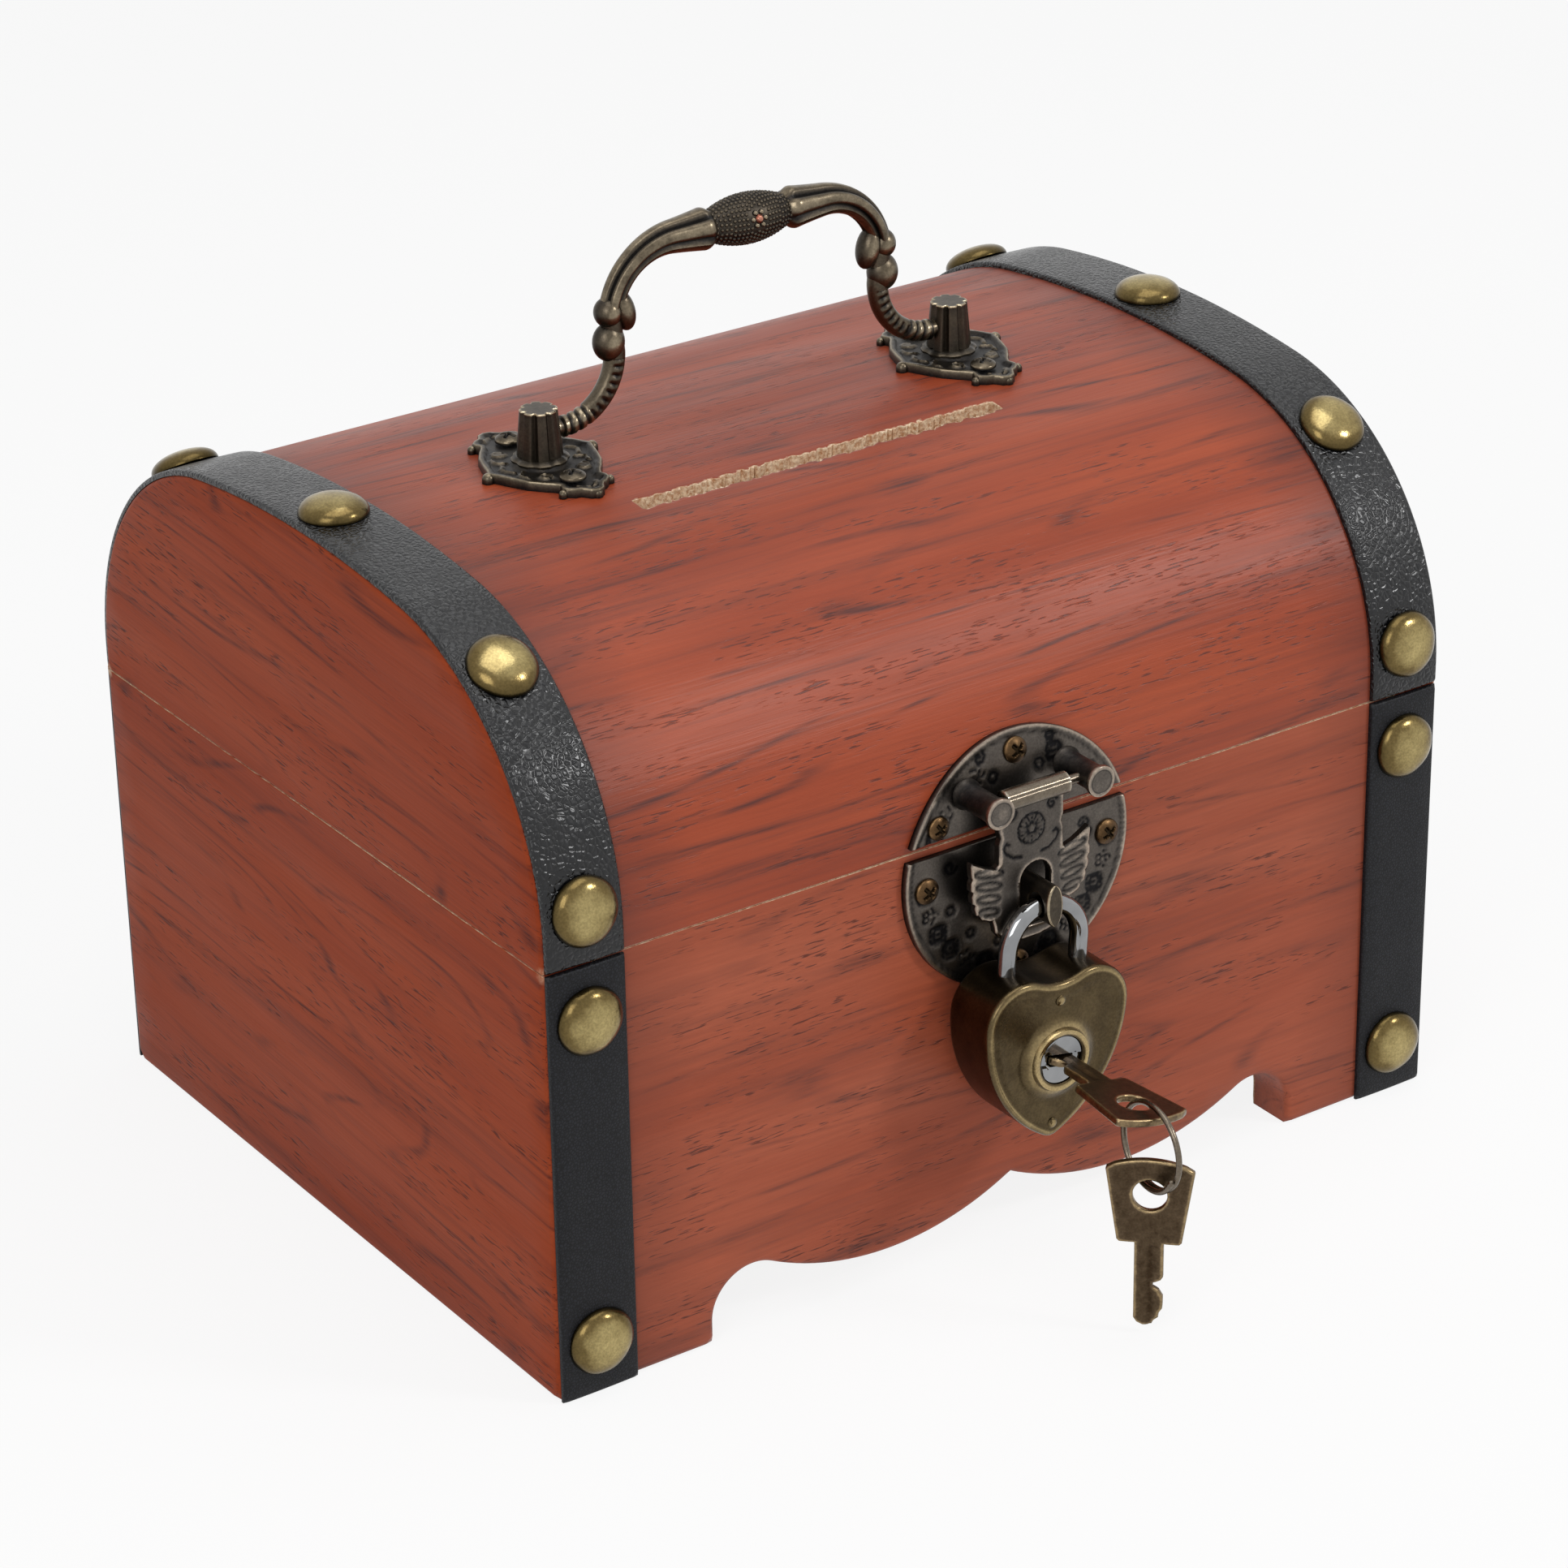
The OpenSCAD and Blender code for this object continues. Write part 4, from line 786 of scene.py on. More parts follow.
def bailArm():
    b = bail
    leg, low, high, sweep = b["legX"], b["lowerSweep"], b["height"], b["upperSweep"]
    upperX, upperZ = leg + 0.6 - sweep, high - sweep
    points = [(37.4, 0), (36.6, 0), (35.9, 0), (35.2, 0)]
    points += [polar(low, a, leg + low, low) for a in np.linspace(270, 180, 90)]
    points += [(leg + 0.1 * t, low + t) for t in np.linspace(0.3, upperZ - low + 2.0, 20)]
    kneeAt = len(points)
    points += [polar(sweep, a, upperX, upperZ) for a in np.linspace(13, 90, 60)]
    points += [(x, high) for x in np.linspace(upperX - 0.4, b["beadL"] / 2 - 1.6, 26)]
    path = np.array([(x, 0, z) for x, z in points])
    run = np.concatenate([[0], np.cumsum(np.linalg.norm(np.diff(path, axis=0), axis=1))])
    knee, total = run[kneeAt], run[-1]

    def thickness(s):
        if s < knee:
            return b["pin"] if s < 2.2 else 1.7 if s < 2.9 else b["arm"] - 0.05
        t = (s - knee) / (total - knee)
        r = b["upper"] - 0.2 + (b["flare"] - b["upper"] + 0.25) * t ** 2.4
        return r * (1 - 0.5 * max(0.0, (t - 0.9) / 0.1) ** 2)

    def twist(s, a):
        return 0.5 + 0.5 * math.cos(2 * math.pi * s / b["twistPitch"] + a)

    def bar(s):
        return 0.5 + 0.5 * math.cos(2 * math.pi * s / b["barPitch"])

    def channel(a):
        # cross bars stand in a channel along the front and the back of the lower arm
        return max(0.0, (abs(math.sin(a)) - 0.8) / 0.2)

    def rib(a):
        return 0.5 + 0.5 * math.cos(5 * a)

    def ripple(i, a):
        s = run[i]
        if s < 3.0:
            return 1.0
        if s < b["twistEnd"]:
            return 1 - 0.17 * twist(s, a) ** 3
        if s < b["barEnd"]:
            return 1 - 0.26 * min(1.0, 1.6 * channel(a)) * (1 - 0.75 * bar(s) ** 0.5)
        return 1.0 if s < knee else 1 - 0.3 * rib(a) ** 5 * min(1.0, (total - s) / 2.2)

    def wear(i, a):
        s = run[i]
        if s < b["twistEnd"]:
            return 0.85 - 0.8 * twist(s, a) ** 2
        if s < b["barEnd"]:
            return 0.6 - 0.6 * channel(a) * (1 - bar(s))
        return 0.5 if s < knee else 0.75 - 0.75 * rib(a) ** 3

    parts = [tube(path, [thickness(s) for s in run], 44, ripple, wear)]
    # leaf scrolls where the arms meet: two lobes outside, one curled in on the inner side
    rows = [(math.sin(t), math.cos(t), 0.25 + 0.6 * math.cos(t) ** 2)
            for t in np.linspace(0.12, math.pi - 0.12, 18)]
    lobe = lathe([(0, 1.0, 0.8)] + rows + [(0, -1.0, 0.8)], 30)
    for x, z, rx, rz, ry, lean in ((1.0, 11.8, 2.65, 3.1, 2.3, 0), (1.0, 16.6, 2.2, 2.4, 2.3, 0),
                                   (-1.75, 16.4, 1.9, 3.5, 2.1, 0.25)):
        sized = moved(lobe, Matrix.Diagonal((rx, rz, ry, 1)))
        parts.append(moved(sized, along((leg + x, 0, z), (0, 1, 0), lean)))
    return parts


def makeBail():
    pivot = shift(handle["x"], handle["y"], crown + handle["pivotUp"])
    parts = [moved(part, pivot @ half) for part in bailArm() for half in (Matrix(), turn(180, "Z"))]
    half, beadR = bail["beadL"] / 2, bail["beadR"] * 0.93
    rows = [(0, -half, 0.3)]
    for u in np.linspace(-0.97, 0.97, 31):
        r, worn = (1, 0.25) if abs(u) < 0.9 else (0.94, 0.85)
        rows.append((bail["beadR"] * (1 - 0.52 * u * u) * r * 0.93, half * u, worn))
    rows.append((0, half, 0.3))
    top = pivot @ shift(0, 0, bail["height"])
    parts.append(moved(lathe(rows, 64), top @ turn(90, "Y")))
    addPiece("handleBail", parts, bronze, "handle", "bronze", angle=45)
    # rows of raised dots over the bead, as Geometry Nodes instances, round two small flowers
    dot = lathe([(0, 0.24, 0.6), (0.17, 0.2, 0.5), (0.29, 0.08, 0.2), (0.34, -0.15, 0), (0, -0.15, 0)], 10)
    faces = [Vector((0, y, 0.25)).normalized() for y in (-1, 1)]
    places = []
    for i, u in enumerate(np.linspace(-0.86, 0.86, 21)):
        r = beadR * (1 - 0.52 * u * u)
        count = max(10, int(2 * math.pi * r / 0.76))
        for k in range(count):
            a = 2 * math.pi * (k + 0.5 * (i % 2)) / count
            p = Vector((half * u, r * math.cos(a), r * math.sin(a)))
            if min((p - f * beadR).length for f in faces) > 1.9:
                n = Vector((0.94 * u * bail["beadR"] / half, math.cos(a), math.sin(a)))
                places.append(along(top @ p, n.normalized()))
    seatAll("gripDots", dot, places, bronze, "handle", "bronze")
    petal = lathe([(0, 0.45, 0.9), (0.35, 0.38, 0.9), (0.62, 0.1, 0.3), (0.66, -0.3, 0), (0, -0.3, 0)], 14)
    studs = [along(top @ (f * beadR), f) for f in faces]
    petals = [base @ shift(*polar(1.12, 60 * k), 0) for base in studs for k in range(6)]
    seatAll("gripFlowers", petal, petals, bronze, "handle", "bronze", [0.7] * len(petals))
    seatAll("gripStuds", petal, studs, copper, "handle", "bronze", [1.15] * len(studs))
    print("bail made")


latch = {"z": 66.5, "radius": 21.2, "thickness": 1.2, "gap": 2.2, "pinY": -72.6, "pinZ": 80.0,
         "pinR": 0.8, "pinHalf": 10.2, "pillarX": 9.5, "pillarR": 2.1, "pillarEnd": -76.1,
         "pillarSunk": 1.0, "coinRing": 17.3, "dotRing": 13.6}


def plateRelief(motifs):
    # chased outlines: rounded coins, small blooms, rings and scrolls, sunk a little and dark
    strokes, petals = [], []
    for x, z, kind, size in motifs:
        if kind == "coin":
            for k in (size, size * 0.62):
                strokes.append([(x + k * math.copysign(abs(math.cos(a)) ** 0.6, math.cos(a)),
                                 z + k * math.copysign(abs(math.sin(a)) ** 0.6, math.sin(a)))
                                for a in np.linspace(0, 2 * math.pi, 29)])
            strokes.append([(x - size * 0.2, z), (x + size * 0.2, z)])
        elif kind == "scroll":
            strokes.append(spiral(x, z, size, 1.2, x * 1.7 + z, 1 if x > 0 else -1))
        elif kind == "ring":
            strokes.append(arcPoints(x, z, size, 0, 360, 14))
        else:
            petals.append((x, z, size))

    def relief(p):
        sunk, raised = bell(lineDistance(p, strokes), 0.3), np.zeros(len(p))
        for x, z, size in petals:
            rho, a = np.hypot(p[:, 0] - x, p[:, 1] - z), np.arctan2(p[:, 1] - z, p[:, 0] - x)
            edge = size * (0.78 + 0.22 * np.cos(5 * a))
            sunk = np.maximum(sunk, np.maximum(bell(rho - edge, 0.2), bell(rho - size * 0.28, 0.18)))
            raised = np.maximum(raised, unit((edge - 0.2 - rho) / 0.3))
        return -0.2 * sunk + 0.08 * raised, 0.56 * (1 - 1.2 * sunk) + 0.2 * raised
    return relief


def plateFace(motifs):
    relief = plateRelief(motifs)

    def face(p, d):
        # a fine raised edge all round, the rest smooth
        edge = latch["radius"] - np.hypot(p[:, 0], p[:, 1])
        rim = 0.2 * unit((1.0 - edge) / 0.25)
        lift, worn = relief(p)
        h = latch["thickness"] - 0.2 - roundEdge(d, 0.22) + np.where(rim > 0, rim, lift)
        worn = np.where(edge < 1.0, 0.55 + 0.5 * bell(edge - 0.3, 0.22), worn)
        return h, np.clip(worn - 0.35 * bell(edge - 1.2, 0.2), 0, 1.1)
    return face


def makeLatchPlates():
    r, zc, deep = latch["radius"], latch["z"], chest["halfDepth"]
    motifs = []
    for i, a in enumerate((184, 197, 210, 223, 236, 249, 291, 304, 317, 330, 343, 356)):
        motifs.append((*polar(latch["coinRing"], a), "flower" if i % 3 == 1 else "coin", 1.45))
        if i % 2:
            motifs.append((*polar(latch["dotRing"], a + 6), "ring", 0.7))
    motifs += [(s * x, z, "scroll", size)
               for x, z, size in ((12.6, 2.2, 1.3), (4.6, -16.6, 1.2)) for s in (-1, 1)]
    chord = math.degrees(math.asin((chest["bodyHeight"] - latch["gap"] / 2 - zc) / r))
    front = onFace("y", -1)
    lower = slab([arcPoints(0, 0, r, 180 - chord, 360 + chord, 110)], 0.5, [0.12, 0.3], plateFace(motifs),
                 level(), lambda u, v, h: front(u, v + zc, h))
    addPiece("latchPlateLower", [lower], gunmetal, "chest", "gunmetal")

    # the upper half is drawn flat, then laid along the lid's curve
    chord = math.degrees(math.asin((chest["bodyHeight"] + latch["gap"] / 2 - zc) / r))
    s = np.linspace(0, 40, 800)
    heights = lidAt(s)[1]
    loop = [(x, float(np.interp(z + zc, heights, s)))
            for x, z in arcPoints(0, 0, r, chord, 180 - chord, 90)]
    motifs = [(*polar(latch["coinRing"], a), ("flower", "coin")[i % 2], 1.4)
              for i, a in enumerate((26, 39, 52, 65, 115, 128, 141, 154))]
    pairs = ((4.4, 14.6, "ring", 0.8), (6.6, 18.2, "scroll", 1.0))
    motifs += [(s * x, z, kind, size) for x, z, kind, size in pairs for s in (-1, 1)]
    face = plateFace(motifs)

    def upperFace(p, d):
        return face(np.column_stack([p[:, 0], lidAt(p[:, 1])[1] - zc]), d)

    parts = [slab([loop], 0.5, [0.12, 0.3], upperFace, level(), onLid)]
    foot = -deep + latch["pillarSunk"]
    length, pr = foot - latch["pillarEnd"], latch["pillarR"]
    rows = [(0, 0, 0), (1.2, 0, 0.2), (1.2, 2.0, 0.4), (1, 2.6, 0.15), (1, length - 2.6, 0.25)]
    rows += [(k, length - back, worn) for k, back, worn in (
        (1.05, 1.5, 0.4), (1.19, 0.9, 0.6), (1.21, 0.4, 0.85), (1.19, 0.12, 1.05), (1.1, 0, 1.0),
        (0.96, 0.02, 0.8), (0.9, 0.12, 0.3), (0.8, 0.1, 0.62), (0, 0.05, 0.66))]
    pillar = lathe([(pr * k, h, worn) for k, h, worn in rows], 40)
    parts += [moved(pillar, along((s * latch["pillarX"], foot, latch["pinZ"]), (0, -1, 0)))
              for s in (-1, 1)]
    addPiece("latchPlateUpper", parts, gunmetal, "lid", "gunmetal")
    reach, pinR = latch["pinHalf"], latch["pinR"]
    pin = lathe([(0, -reach, 0.4), (pinR, -reach, 0.4), (pinR, reach, 0.4), (0, reach, 0.4)], 20)
    pin = moved(pin, along((0, latch["pinY"], latch["pinZ"]), (1, 0, 0)))
    addPiece("haspPin", [pin], wireSteel, "lid", "steel")
    print("latch plates made")


screw = {"radius": 2.1, "height": 1.0, "crossHalf": 1.15, "crossWide": 0.3, "crossDeep": 0.6,
         "lower": ((-17.2, -0.5), (17.2, -0.5), (0, -17.8)),
         "upper": ((0, 84.5, 1.0), (-15, 76.0, 0.9), (15, 76.0, 0.9))}


def screwHead():
    def top(p, d):
        rho = np.hypot(p[:, 0], p[:, 1]) / screw["radius"]
        h = screw["height"] * (1 - rho ** 2 * 0.8) - roundEdge(d, 0.2) * 0.8
        a, b = np.abs(p.T)
        half, wide = screw["crossHalf"], screw["crossWide"]
        arm = np.minimum(np.maximum(a / half, b / wide), np.maximum(b / half, a / wide))
        cut = unit((1.15 - arm) / 0.35)
        return h - cut * screw["crossDeep"], np.where(cut > 0.3, 0.0, 0.35 + 0.4 * rho ** 3)
    return slab([circle(0, 0, screw["radius"], 40)], 0.17, [0.06, 0.15], top, level(-0.3), asDrawn)


def makeScrews():
    head, thick = screwHead(), latch["thickness"]
    places = [along((x, -chest["halfDepth"] - thick, latch["z"] + z), (0, -1, 0))
              for x, z in screw["lower"]]
    seatAll("latchScrewsLower", head, places, screwBrass, "chest", "screw_brass")
    places = []
    for x, z, _ in screw["upper"]:
        y, z, ny, nz = (float(v) for v in lidAt(lidStation(-66.4, z)))
        places.append(along((x, y + ny * thick, z + nz * thick), (0, ny, nz)))
    sizes = [size for _, _, size in screw["upper"]]
    seatAll("latchScrewsUpper", head, places, screwBrass, "lid", "screw_brass", sizes)
    places = [along((handle["x"] + s * handle["postHalf"], handle["y"] + t * mount["screwOut"],
                     crown + mount["thickness"]), (0, 0, 1)) for s in (-1, 1) for t in (-1, 1)]
    seatAll("handleScrews", head, places, bronze, "lid", "bronze")
    print("screws made")


hasp = {"x": -0.8, "halfWidth": 6.1, "barrelR": 1.75, "thickness": 1.4, "midZ": 62.1,
        "holeX": 0.8, "holeHalf": 2.8, "holeUp": 5.7, "holeDown": 4.8, "bloomZ": 11.6, "bloomR": 2.5}


def makeHasp():
    w = hasp["halfWidth"]
    # the wing: a top edge that rises outward, four shallow feather lobes, a rounded foot
    right = [(w, latch["pinZ"] - hasp["midZ"] - 0.4), (w, 12.5), (w - 0.35, 11.3), (w, 10.2), (w, 7.0),
             (w + 0.5, 6.5), (8.4, 7.1), (10.2, 8.1), (11.2, 8.7), (11.35, 8.2), (11.2, 6.4), (11.0, 5.9),
             (11.3, 5.3), (11.3, 4.1), (10.9, 3.6), (11.1, 3.0), (11.0, 1.9), (10.5, 1.4), (10.6, 0.8),
             (10.3, -0.3), (9.6, -0.8), (9.2, -1.5), (8.2, -2.0), (7.2, -2.2), (6.9, -3.2), (6.7, -4.4),
             (5.9, -5.5), (4.6, -6.2), (3.2, -6.7), (1.6, -7.0)]
    outline = right + [(-x, z) for x, z in reversed(right)]
    x, half, up, down = hasp["holeX"], hasp["holeHalf"], hasp["holeUp"], hasp["holeDown"]
    hole = [(half + x, -down), *arcPoints(x, up - half, half, 0, 180, 18), (x - half, -down)]
    strokes = [spiral(sx * 4.4, -4.4, 1.0, 1.2, 1.2, sx) for sx in (-1, 1)]
    for sx in (-1, 1):
        for z in (6.1, 3.95, 1.75, -0.45):
            reach = 2.6 - 0.12 * (6.1 - z)
            feather = ((reach * math.cos(a), math.sin(a)) for a in np.linspace(0, 2 * math.pi, 25))
            strokes.append([(sx * (7.9 + out), z + 0.2 * out + 0.66 * up) for out, up in feather])
        strokes.append(spiral(sx * 3.9, 14.7, 1.1, 1.2, 0.5, sx))
        curl = ((1.9, 7.2), (3.4, 7.4), (4.9, 8.6), (5.2, 9.6), (4.7, 10.2), (4.2, 9.8))
        strokes.append([(sx * u, v) for u, v in curl])

    def top(p, d):
        rim, line = bell(d - 0.35, 0.25), bell(lineDistance(p, strokes), 0.24)
        fromBloom, bloomR = p[:, 1] - hasp["bloomZ"], hasp["bloomR"]
        rho, a = np.hypot(p[:, 0], fromBloom), np.arctan2(fromBloom, p[:, 0])
        # a many-petalled bloom in the middle of the strip, its petals parted by fine cuts
        cut = bell(np.abs(np.sin(8 * a)) * rho / 8, 0.12) * (rho > 0.8) * (rho < bloomR)
        sunk = unit(line + 0.8 * cut + bell(rho - bloomR, 0.18) + bell(rho - 0.75, 0.15))
        onWing = unit((np.abs(p[:, 0]) - 5.2) / 0.6) * (p[:, 1] < 8.4)
        lift = 0.12 * rim + 0.12 * unit((bloomR - rho) / 0.3) - 0.18 * sunk
        return hasp["thickness"] - 0.15 + lift - roundEdge(d, 0.25), \
            np.clip(0.52 + 0.25 * onWing + 0.5 * rim - 0.65 * sunk, 0, 1.1)

    br = hasp["barrelR"]
    back = latch["pinY"] + br
    plate = slab([outline, hole], 0.36, [0.12, 0.3], top, level(),
                 lambda u, v, h: np.column_stack([u + hasp["x"], back - h, v + hasp["midZ"]]), wallWear=0.5)
    addPiece("hasp", [plate], gunmetal, "hasp", "gunmetal")
    # the sheet is rolled, its end leaving a fine seam
    rows = [(0, -w, 0.3), (br * 0.8, -w, 0.5), (br, -w + 0.25, 0.9), (br, -w + 0.8, 0.5)]
    rows += [(br * 0.99, 0, 0.5)] + [(r, -h, worn) for r, h, worn in reversed(rows)]
    barrel = lathe(rows, 72, lambda a, z: 1 - 0.07 * math.exp(-((a - 2.6) / 0.07) ** 2))
    place = along((hasp["x"], latch["pinY"], latch["pinZ"]), (1, 0, 0))
    addPiece("haspBarrel", [moved(barrel, place)], wireSteel, "hasp", "gunmetal")
    print("hasp made")


staple = {"y0": -67.7, "y1": -77.2, "z": 62.1, "height": 7.0, "width": 3.0,
          "eyeY": -74.2, "eyeZ": 61.6, "eyeR": 2.0}


def makeStaple():
    # an oval bar with a flat end and a round eye across it
    y0, y1, z, hz = staple["y0"], staple["y1"], staple["z"], staple["height"] / 2
    loop = [(y0, z - hz), (y0, z + hz), (y1, z + hz), (y1, z - hz)]
    hole = circle(staple["eyeY"], staple["eyeZ"], staple["eyeR"], 30)

    def swell(sign):
        def face(p, d):
            oval = np.sqrt(unit(1 - ((p[:, 1] - z) / hz) ** 2)) * staple["width"] / 2
            toEnd, toEye = p[:, 0] - y1, lineDistance(p, [hole], True)
            worn = 0.25 + 0.8 * bell(toEnd, 0.55) + 0.5 * bell(toEye, 0.4)
            return sign * np.maximum(oval - roundEdge(toEnd, 0.3) - roundEdge(toEye, 0.25), 0.05), worn
        return face

    bar = slab([loop, hole], 0.32, [0.1, 0.25, 0.5], swell(1), swell(-1),
               lambda u, v, h: np.column_stack([h, u, v]), wallWear=0.4)
    addPiece("staple", [bar], bronze, "chest", "bronze", angle=50)
    print("staple made")


lock = {"y": -74.2, "arcZ": 54.55, "slant": 4.0, "shackleHalf": 6.85, "wire": 1.5, "up": 3.3,
        "shortLeg": 5.5, "longLeg": 17.0, "lobeX": 6.5, "lobeR": 7.0, "lobeZ": 6.8, "tipZ": 13.8,
        "tipR": 2.5, "dipR": 10.0, "halfThick": 5.2, "collarR": 5.2, "collarH": 1.5, "collarBore": 4.05,
        "cylinderR": 4.0, "keySlant": 7.0, "keyway": (2.35, 0.7), "rivetZ": (9.6, -11.4), "rivetR": 0.9}
lockPlace = shift(0, lock["y"], lock["arcZ"]) @ turn(lock["slant"], "Y")
keyholePlace = lockPlace @ shift(0, 0, -(lock["up"] + lock["lobeZ"] + lock["lobeR"]))
keyPlace = keyholePlace @ turn(lock["keySlant"], "Y")


def heartOutline():
    k = lock
    drop = k["tipZ"] + k["lobeZ"] - k["tipR"]
    wide = k["lobeX"] + k["lobeR"] - k["tipR"]
    sideC = (drop * drop - wide * wide) / (2 * wide)
    tipA = math.degrees(math.atan2(-drop, sideC))
    dipZ = k["lobeZ"] + math.sqrt((k["lobeR"] + k["dipR"]) ** 2 - k["lobeX"] ** 2)
    dipA = math.degrees(math.atan2(dipZ - k["lobeZ"], -k["lobeX"]))
    half = arcPoints(0, k["tipR"] - k["tipZ"], k["tipR"], -90, tipA, 8)[:-1]
    half += arcPoints(-sideC, k["lobeZ"], sideC + k["lobeX"] + k["lobeR"], tipA, 0, 22)[:-1]
    half += arcPoints(k["lobeX"], k["lobeZ"], k["lobeR"], 0, dipA, 26)[:-1]
    half += arcPoints(0, dipZ, k["dipR"], dipA - 180, -90, 7)
    return half + [(-x, z) for x, z in reversed(half[1:-1])]


def makePadlock():
    t, rim, bore = lock["halfThick"], lock["collarR"], lock["collarBore"]
    face = t + lock["collarH"]
    outward = keyholePlace @ turn(90, "X")

    def front(p, d):
        rho, line = np.hypot(p[:, 0], p[:, 1]), 0.1 * bell(d - 1.3, 0.2)
        mound = 0.95 * unit((7.3 - rho) / 2.1) ** 1.5
        wear = 0.42 + 0.5 * bell(d - 0.7, 0.4) + 0.55 * unit((6.9 - rho) / 1.6) - 1.5 * line
        return t - roundEdge(d, 0.8) - line + mound - 0.12 * unit(d - 2), np.clip(wear, 0, 1.2)

    def back(p, d):
        return -t + roundEdge(d, 0.7), 0.2 + 0.5 * bell(d - 0.6, 0.4)

    def standing(matrix):
        return lambda u, v, h: carry(np.column_stack([u, -h, v]), matrix)

    shell = slab([heartOutline(), circle(0, 0, lock["cylinderR"] + 0.05, 48)], 0.6, [0.15, 0.4, 0.8, 1.25],
                 front, back, standing(keyholePlace), wallWear=0.22)
    addPiece("padlockBody", [shell], lockBrass, "padlock", "lock_brass")
    collar = lathe([(bore, 4.9, 0.2), (rim + 0.25, 4.9, 0.5), (rim + 0.2, t + 0.7, 0.9),
                    (rim - 0.15, face, 1.1), (4.5, face, 1.0), (bore, face - 0.3, 0.3), (bore, 4.9, 0.2)], 64)
    addPiece("padlockCollar", [moved(collar, outward)], lockBrass, "padlock", "lock_brass")
    r = lock["rivetR"]
    rivet = lathe([(0, t + 0.35, 0.9), (r * 0.6, t + 0.28, 0.8), (r, t + 0.02, 0.3), (r, -t, 0.2),
                   (0, -t - 0.35, 0.4)], 24)
    rivets = [moved(rivet, keyholePlace @ shift(0, 0, z) @ turn(90, "X")) for z in lock["rivetZ"]]
    addPiece("padlockRivets", rivets, lockBrass, "padlock", "lock_brass")

    def plugFace(p, d):
        # chromed, its face split by the keyway
        return face - 0.35 - roundEdge(d, 0.3) - 0.5 * (np.abs(p[:, 1]) < 0.95), 0.0

    x, z = lock["keyway"]
    plug = slab([circle(0, 0, lock["cylinderR"], 60), rectangle(-x, -z, x, z)], 0.3, [0.1, 0.3], plugFace,
                level(-1.6), standing(keyPlace))
    addPiece("lockCylinder", [plug], chromeWithPaintedDarkReflection, "cylinder", "chrome")

    half, wire = lock["shackleHalf"], lock["wire"]
    short, long = lock["up"] + lock["shortLeg"], lock["up"] + lock["longLeg"]
    path = [(-half, 0, -short + t * short) for t in np.linspace(0, 0.97, 14)]
    path += [(half * math.cos(a), 0, half * math.sin(a)) for a in np.linspace(math.pi, 0, 49)]
    path += [(half, 0, -t * long) for t in np.linspace(0.03, 1, 18)]
    radius = [wire * 0.8, *[wire] * (len(path) - 2), wire * 0.8]
    bow = moved(tube(path, radius, 32), lockPlace)
    addPiece("shackle", [bow], chromeWithPaintedDarkReflection, "shackle", "chrome", angle=50)
    print("padlock made")


keys = {"thickness": 1.2, "bladeW": 4.5, "bladeL": 14.5, "bowW": 13.6, "bowW2": 10.0, "bowL": 14.6,
        "holeR": 2.4, "holeEase": 0.25, "holeIn": 6.2, "bowGap": 9.0}
ring = {"radius": 7.0, "wire": 0.48, "up": 2.0, "slack": 0.45, "turn": 45.0, "yaw": -5.0, "steps": 180,
        "start": -155, "sweep": 450, "drift": 0.46}


def keyOutline():
    w, wide, foot = keys["bladeW"] / 2, keys["bowW"] / 2, keys["bowW2"] / 2
    l, bowL = keys["bladeL"], keys["bowL"]
    arc = [(x, bowL - (x / wide) ** 2 * 1.5) for x in np.linspace(wide - 0.5, -wide + 0.5, 17)]
    right = [(w, 0), (foot - 0.4, 0), (foot, 0.4), (wide, bowL * 0.86), (wide - 0.1, bowL - 1.7)]
    left = [(-x, y) for x, y in reversed(right)]
    tip = [(-w, -l + 1.2), (-w + 0.5, -l + 0.45), (-0.8, -l), (0, -l), (0.6, -l + 0.2), (0.9, -l + 0.9),
           (1.6, -l + 1.5), (1.7, -l + 2.3), (2.2, -l + 3.1), (w, -l + 4.0), (w, -9.3), (1.6, -8.2),
           (0.7, -7.6), (0.7, -7.0), (1.9, -6.4), (w, -5.8)]
    return right + arc[1:-1] + left + tip


def makeKey(name, body, matrix):
    def face(sign):
        def height(p, d):
            groove = 0.28 * bell(p[:, 0] - 0.3, 0.45) * (p[:, 1] < -0.3)
            rim = 0.12 * bell(d - 0.9, 0.22) * (p[:, 1] > 1.0)
            h = keys["thickness"] / 2 - roundEdge(d, 0.28) - groove - rim
            return sign * h, unit(0.35 + 0.6 * bell(d - 0.2, 0.3) - groove)
        return height

    hole = circle(0, keys["bowL"] - keys["holeIn"], keys["holeR"] + keys["holeEase"], 36)
    part = slab([keyOutline(), hole], 0.5, [0.1, 0.28, 0.6], face(1), face(-1), asDrawn)
    addPiece(name, [moved(part, matrix)], keyBrass, body, "key_brass", angle=45)


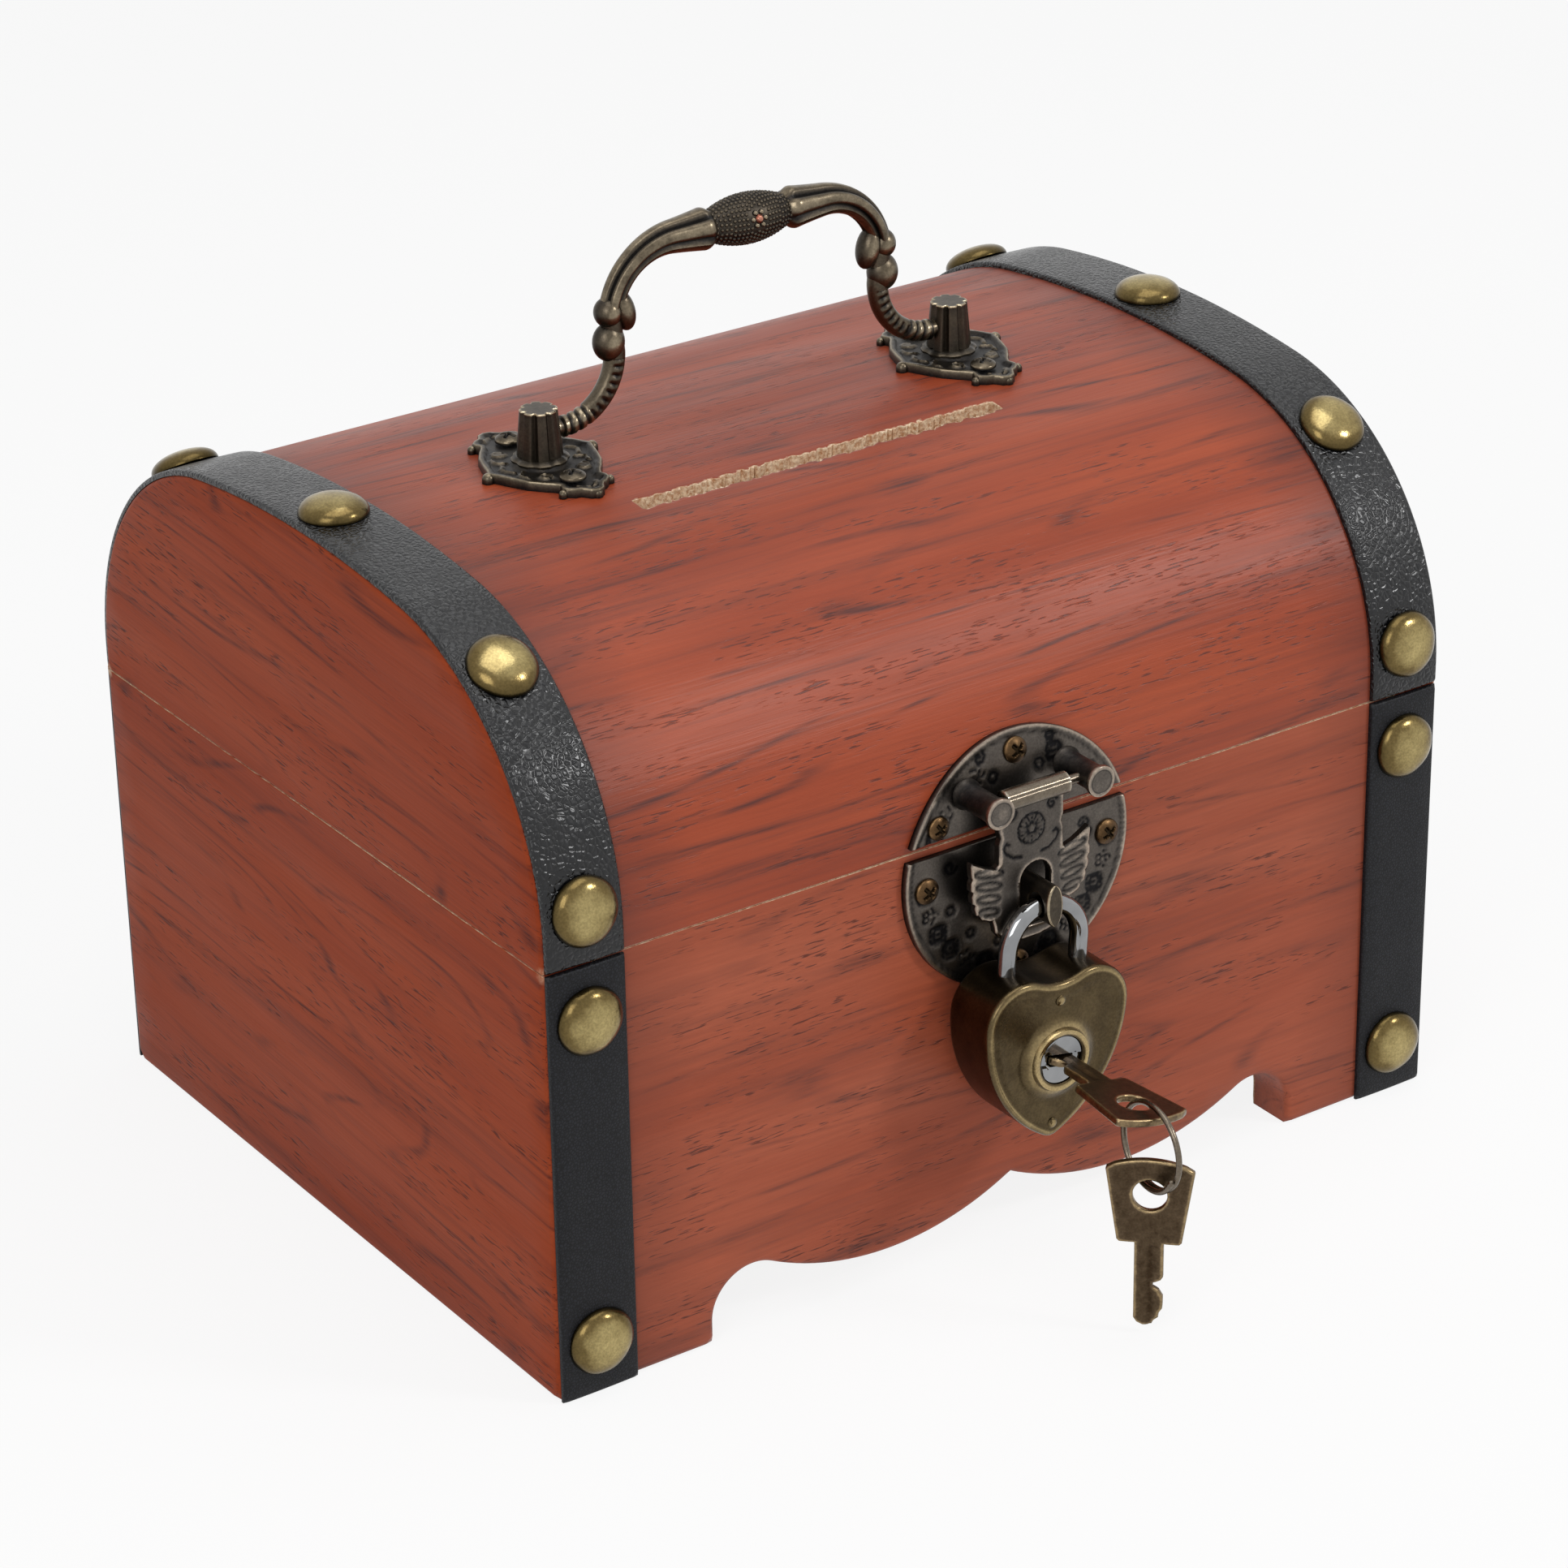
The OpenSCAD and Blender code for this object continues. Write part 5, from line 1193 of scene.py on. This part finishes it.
def makeKeys():
    bowStart = -lock["halfThick"] - lock["collarH"] - keys["bowGap"]
    makeKey("keyInLock", "key", keyPlace @ shift(0, bowStart, 0) @ turn(180, "Z"))
    axis = keyholePlace.to_translation()
    ringY = lock["y"] + bowStart - keys["bowL"] + (keys["holeIn"] - keys["holeR"]) / 2
    # split ring: one and a quarter turns of wire, its ends lying side by side
    r, steps = ring["radius"], ring["steps"]
    centre = Vector((axis.x, ringY, axis.z + ring["up"] - r))
    twist = turn(ring["yaw"], "Z")
    path = []
    for i in range(steps + 1):
        x = ring["drift"] * math.tanh((i / steps - 0.5) * 5)
        y, z = polar(r, ring["start"] + ring["sweep"] * i / steps)
        path.append(tuple(centre + twist @ Vector((x, y, z))))
    ends, wire = [ring["wire"] * 0.7], [ring["wire"]] * (steps - 1)
    addPiece("keyRing", [tube(path, ends + wire + ends, 16)], wireSteel, "ring", "steel", angle=50)
    hang = keys["holeR"] - 0.6 - ring["slack"]
    makeKey("spareKey", "spare", shift(axis.x, ringY, centre.z - r - hang) @ turn(-ring["turn"], "Z")
            @ turn(90, "X") @ shift(0, keys["holeIn"] - keys["bowL"], 0))
    print("keys made")


def dressHinges():
    for name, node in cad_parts.items():
        if name.startswith("hinge_"):
            node.data.materials.clear()
            node.data.materials.append(wireSteel if name == "hinge_pins" else screwBrass)
    print("hinges dressed")


makeBox()
makeLid()
makeStraps()
makeTacks()
makeMounts()
makeBail()
makeLatchPlates()
makeScrews()
makeHasp()
makeStaple()
makePadlock()
makeKeys()
dressHinges()

# Lamps: place and aim in metres, size, watts.
studio = {"floorTint": "#f4f4f4", "floorHalf": 3.0, "floorDrop": 0.0002, "floorShare": 0.87,
          "worldFill": 0.32,
          "topBox": ((0.05, -0.1, 0.9), (0, 0, 0.08), (0.7, 0.5), 2.2),
          "keyBox": ((-0.75, -0.55, 0.62), (0, 0, 0.06), (0.5, 0.6), 3.3),
          "fillBox": ((0.55, -0.7, 0.68), (0, 0, 0.06), (0.17, 0.17), 3.2)}
view = {"lens": 114.634, "azimuth": -34.36, "elevation": 25.90, "roll": -0.98,
        "place": (-0.41365, -0.60973, 0.41045)}


def backdropRays(add):
    # 1 where the camera, a mirror or glass looks at the backdrop, 0 where it only gives light
    rays = add("LightPath").outputs
    glossy = add("Math", rays["Is Transmission Ray"], rays["Is Glossy Ray"], **maximum)
    return add("Math", rays["Is Camera Ray"], glossy, **maximum)


def makeStudio():
    material, add, _ = newMaterial("matt white paper floor")
    paper = add("BsdfPrincipled", Base_Color=colour(studio["floorTint"]), Roughness=0.9)
    share = add("Math", backdropRays(add), studio["floorShare"], **multiply)
    white = add("Emission", Color=(1, 1, 1, 1), Strength=1.0)
    add("OutputMaterial", Surface=add("MixShader", share, paper, white))
    mesh = bpy.data.meshes.new("floor")
    half = studio["floorHalf"]
    corners = [(x, y, -studio["floorDrop"]) for x, y in rectangle(-half, -half, half, half)]
    mesh.from_pydata(corners, [], [(0, 1, 2, 3)])
    mesh.materials.append(material)
    addObject("floor", mesh)

    world = bpy.data.worlds.new("studio")
    bpy.context.scene.world = world
    world.use_nodes = True
    world.node_tree.nodes.clear()
    add = partial(addNode, world.node_tree)
    strength = add("MapRange", backdropRays(add), 0.0, 1.0, studio["worldFill"], 1.0)
    add("OutputWorld", Surface=add("Background", Color=(1, 1, 1, 1), Strength=strength))

    for name in ("topBox", "keyBox", "fillBox"):
        place, aim, size, watts = studio[name]
        light = bpy.data.lights.new(name, "AREA")
        light.shape = "RECTANGLE"
        light.size, light.size_y = size
        light.energy = watts
        lamp = addObject(name, light)
        lamp.location = place
        lamp.rotation_euler = (Vector(aim) - Vector(place)).to_track_quat("-Z", "Y").to_euler()

    camera = bpy.data.cameras.new("camera")
    camera.lens, camera.sensor_width = view["lens"], 36.0
    camera.clip_start, camera.clip_end = 0.01, 20
    azimuth, elevation, roll = (math.radians(view[k]) for k in ("azimuth", "elevation", "roll"))
    outward = math.cos(elevation)
    back = Vector((math.sin(azimuth) * outward, -math.cos(azimuth) * outward, math.sin(elevation)))
    right = (-back).cross(Vector((0, 0, 1))).normalized()
    up = right.cross(-back).normalized()
    axes = Matrix((right * math.cos(roll) + up * math.sin(roll),
                   up * math.cos(roll) - right * math.sin(roll), back))
    holder = addObject("camera", camera)
    holder.matrix_world = shift(*view["place"]) @ axes.transposed().to_4x4()
    bpy.context.scene.camera = holder
    bpy.context.scene.view_settings.view_transform = "Standard"
    print("studio made")


makeStudio()
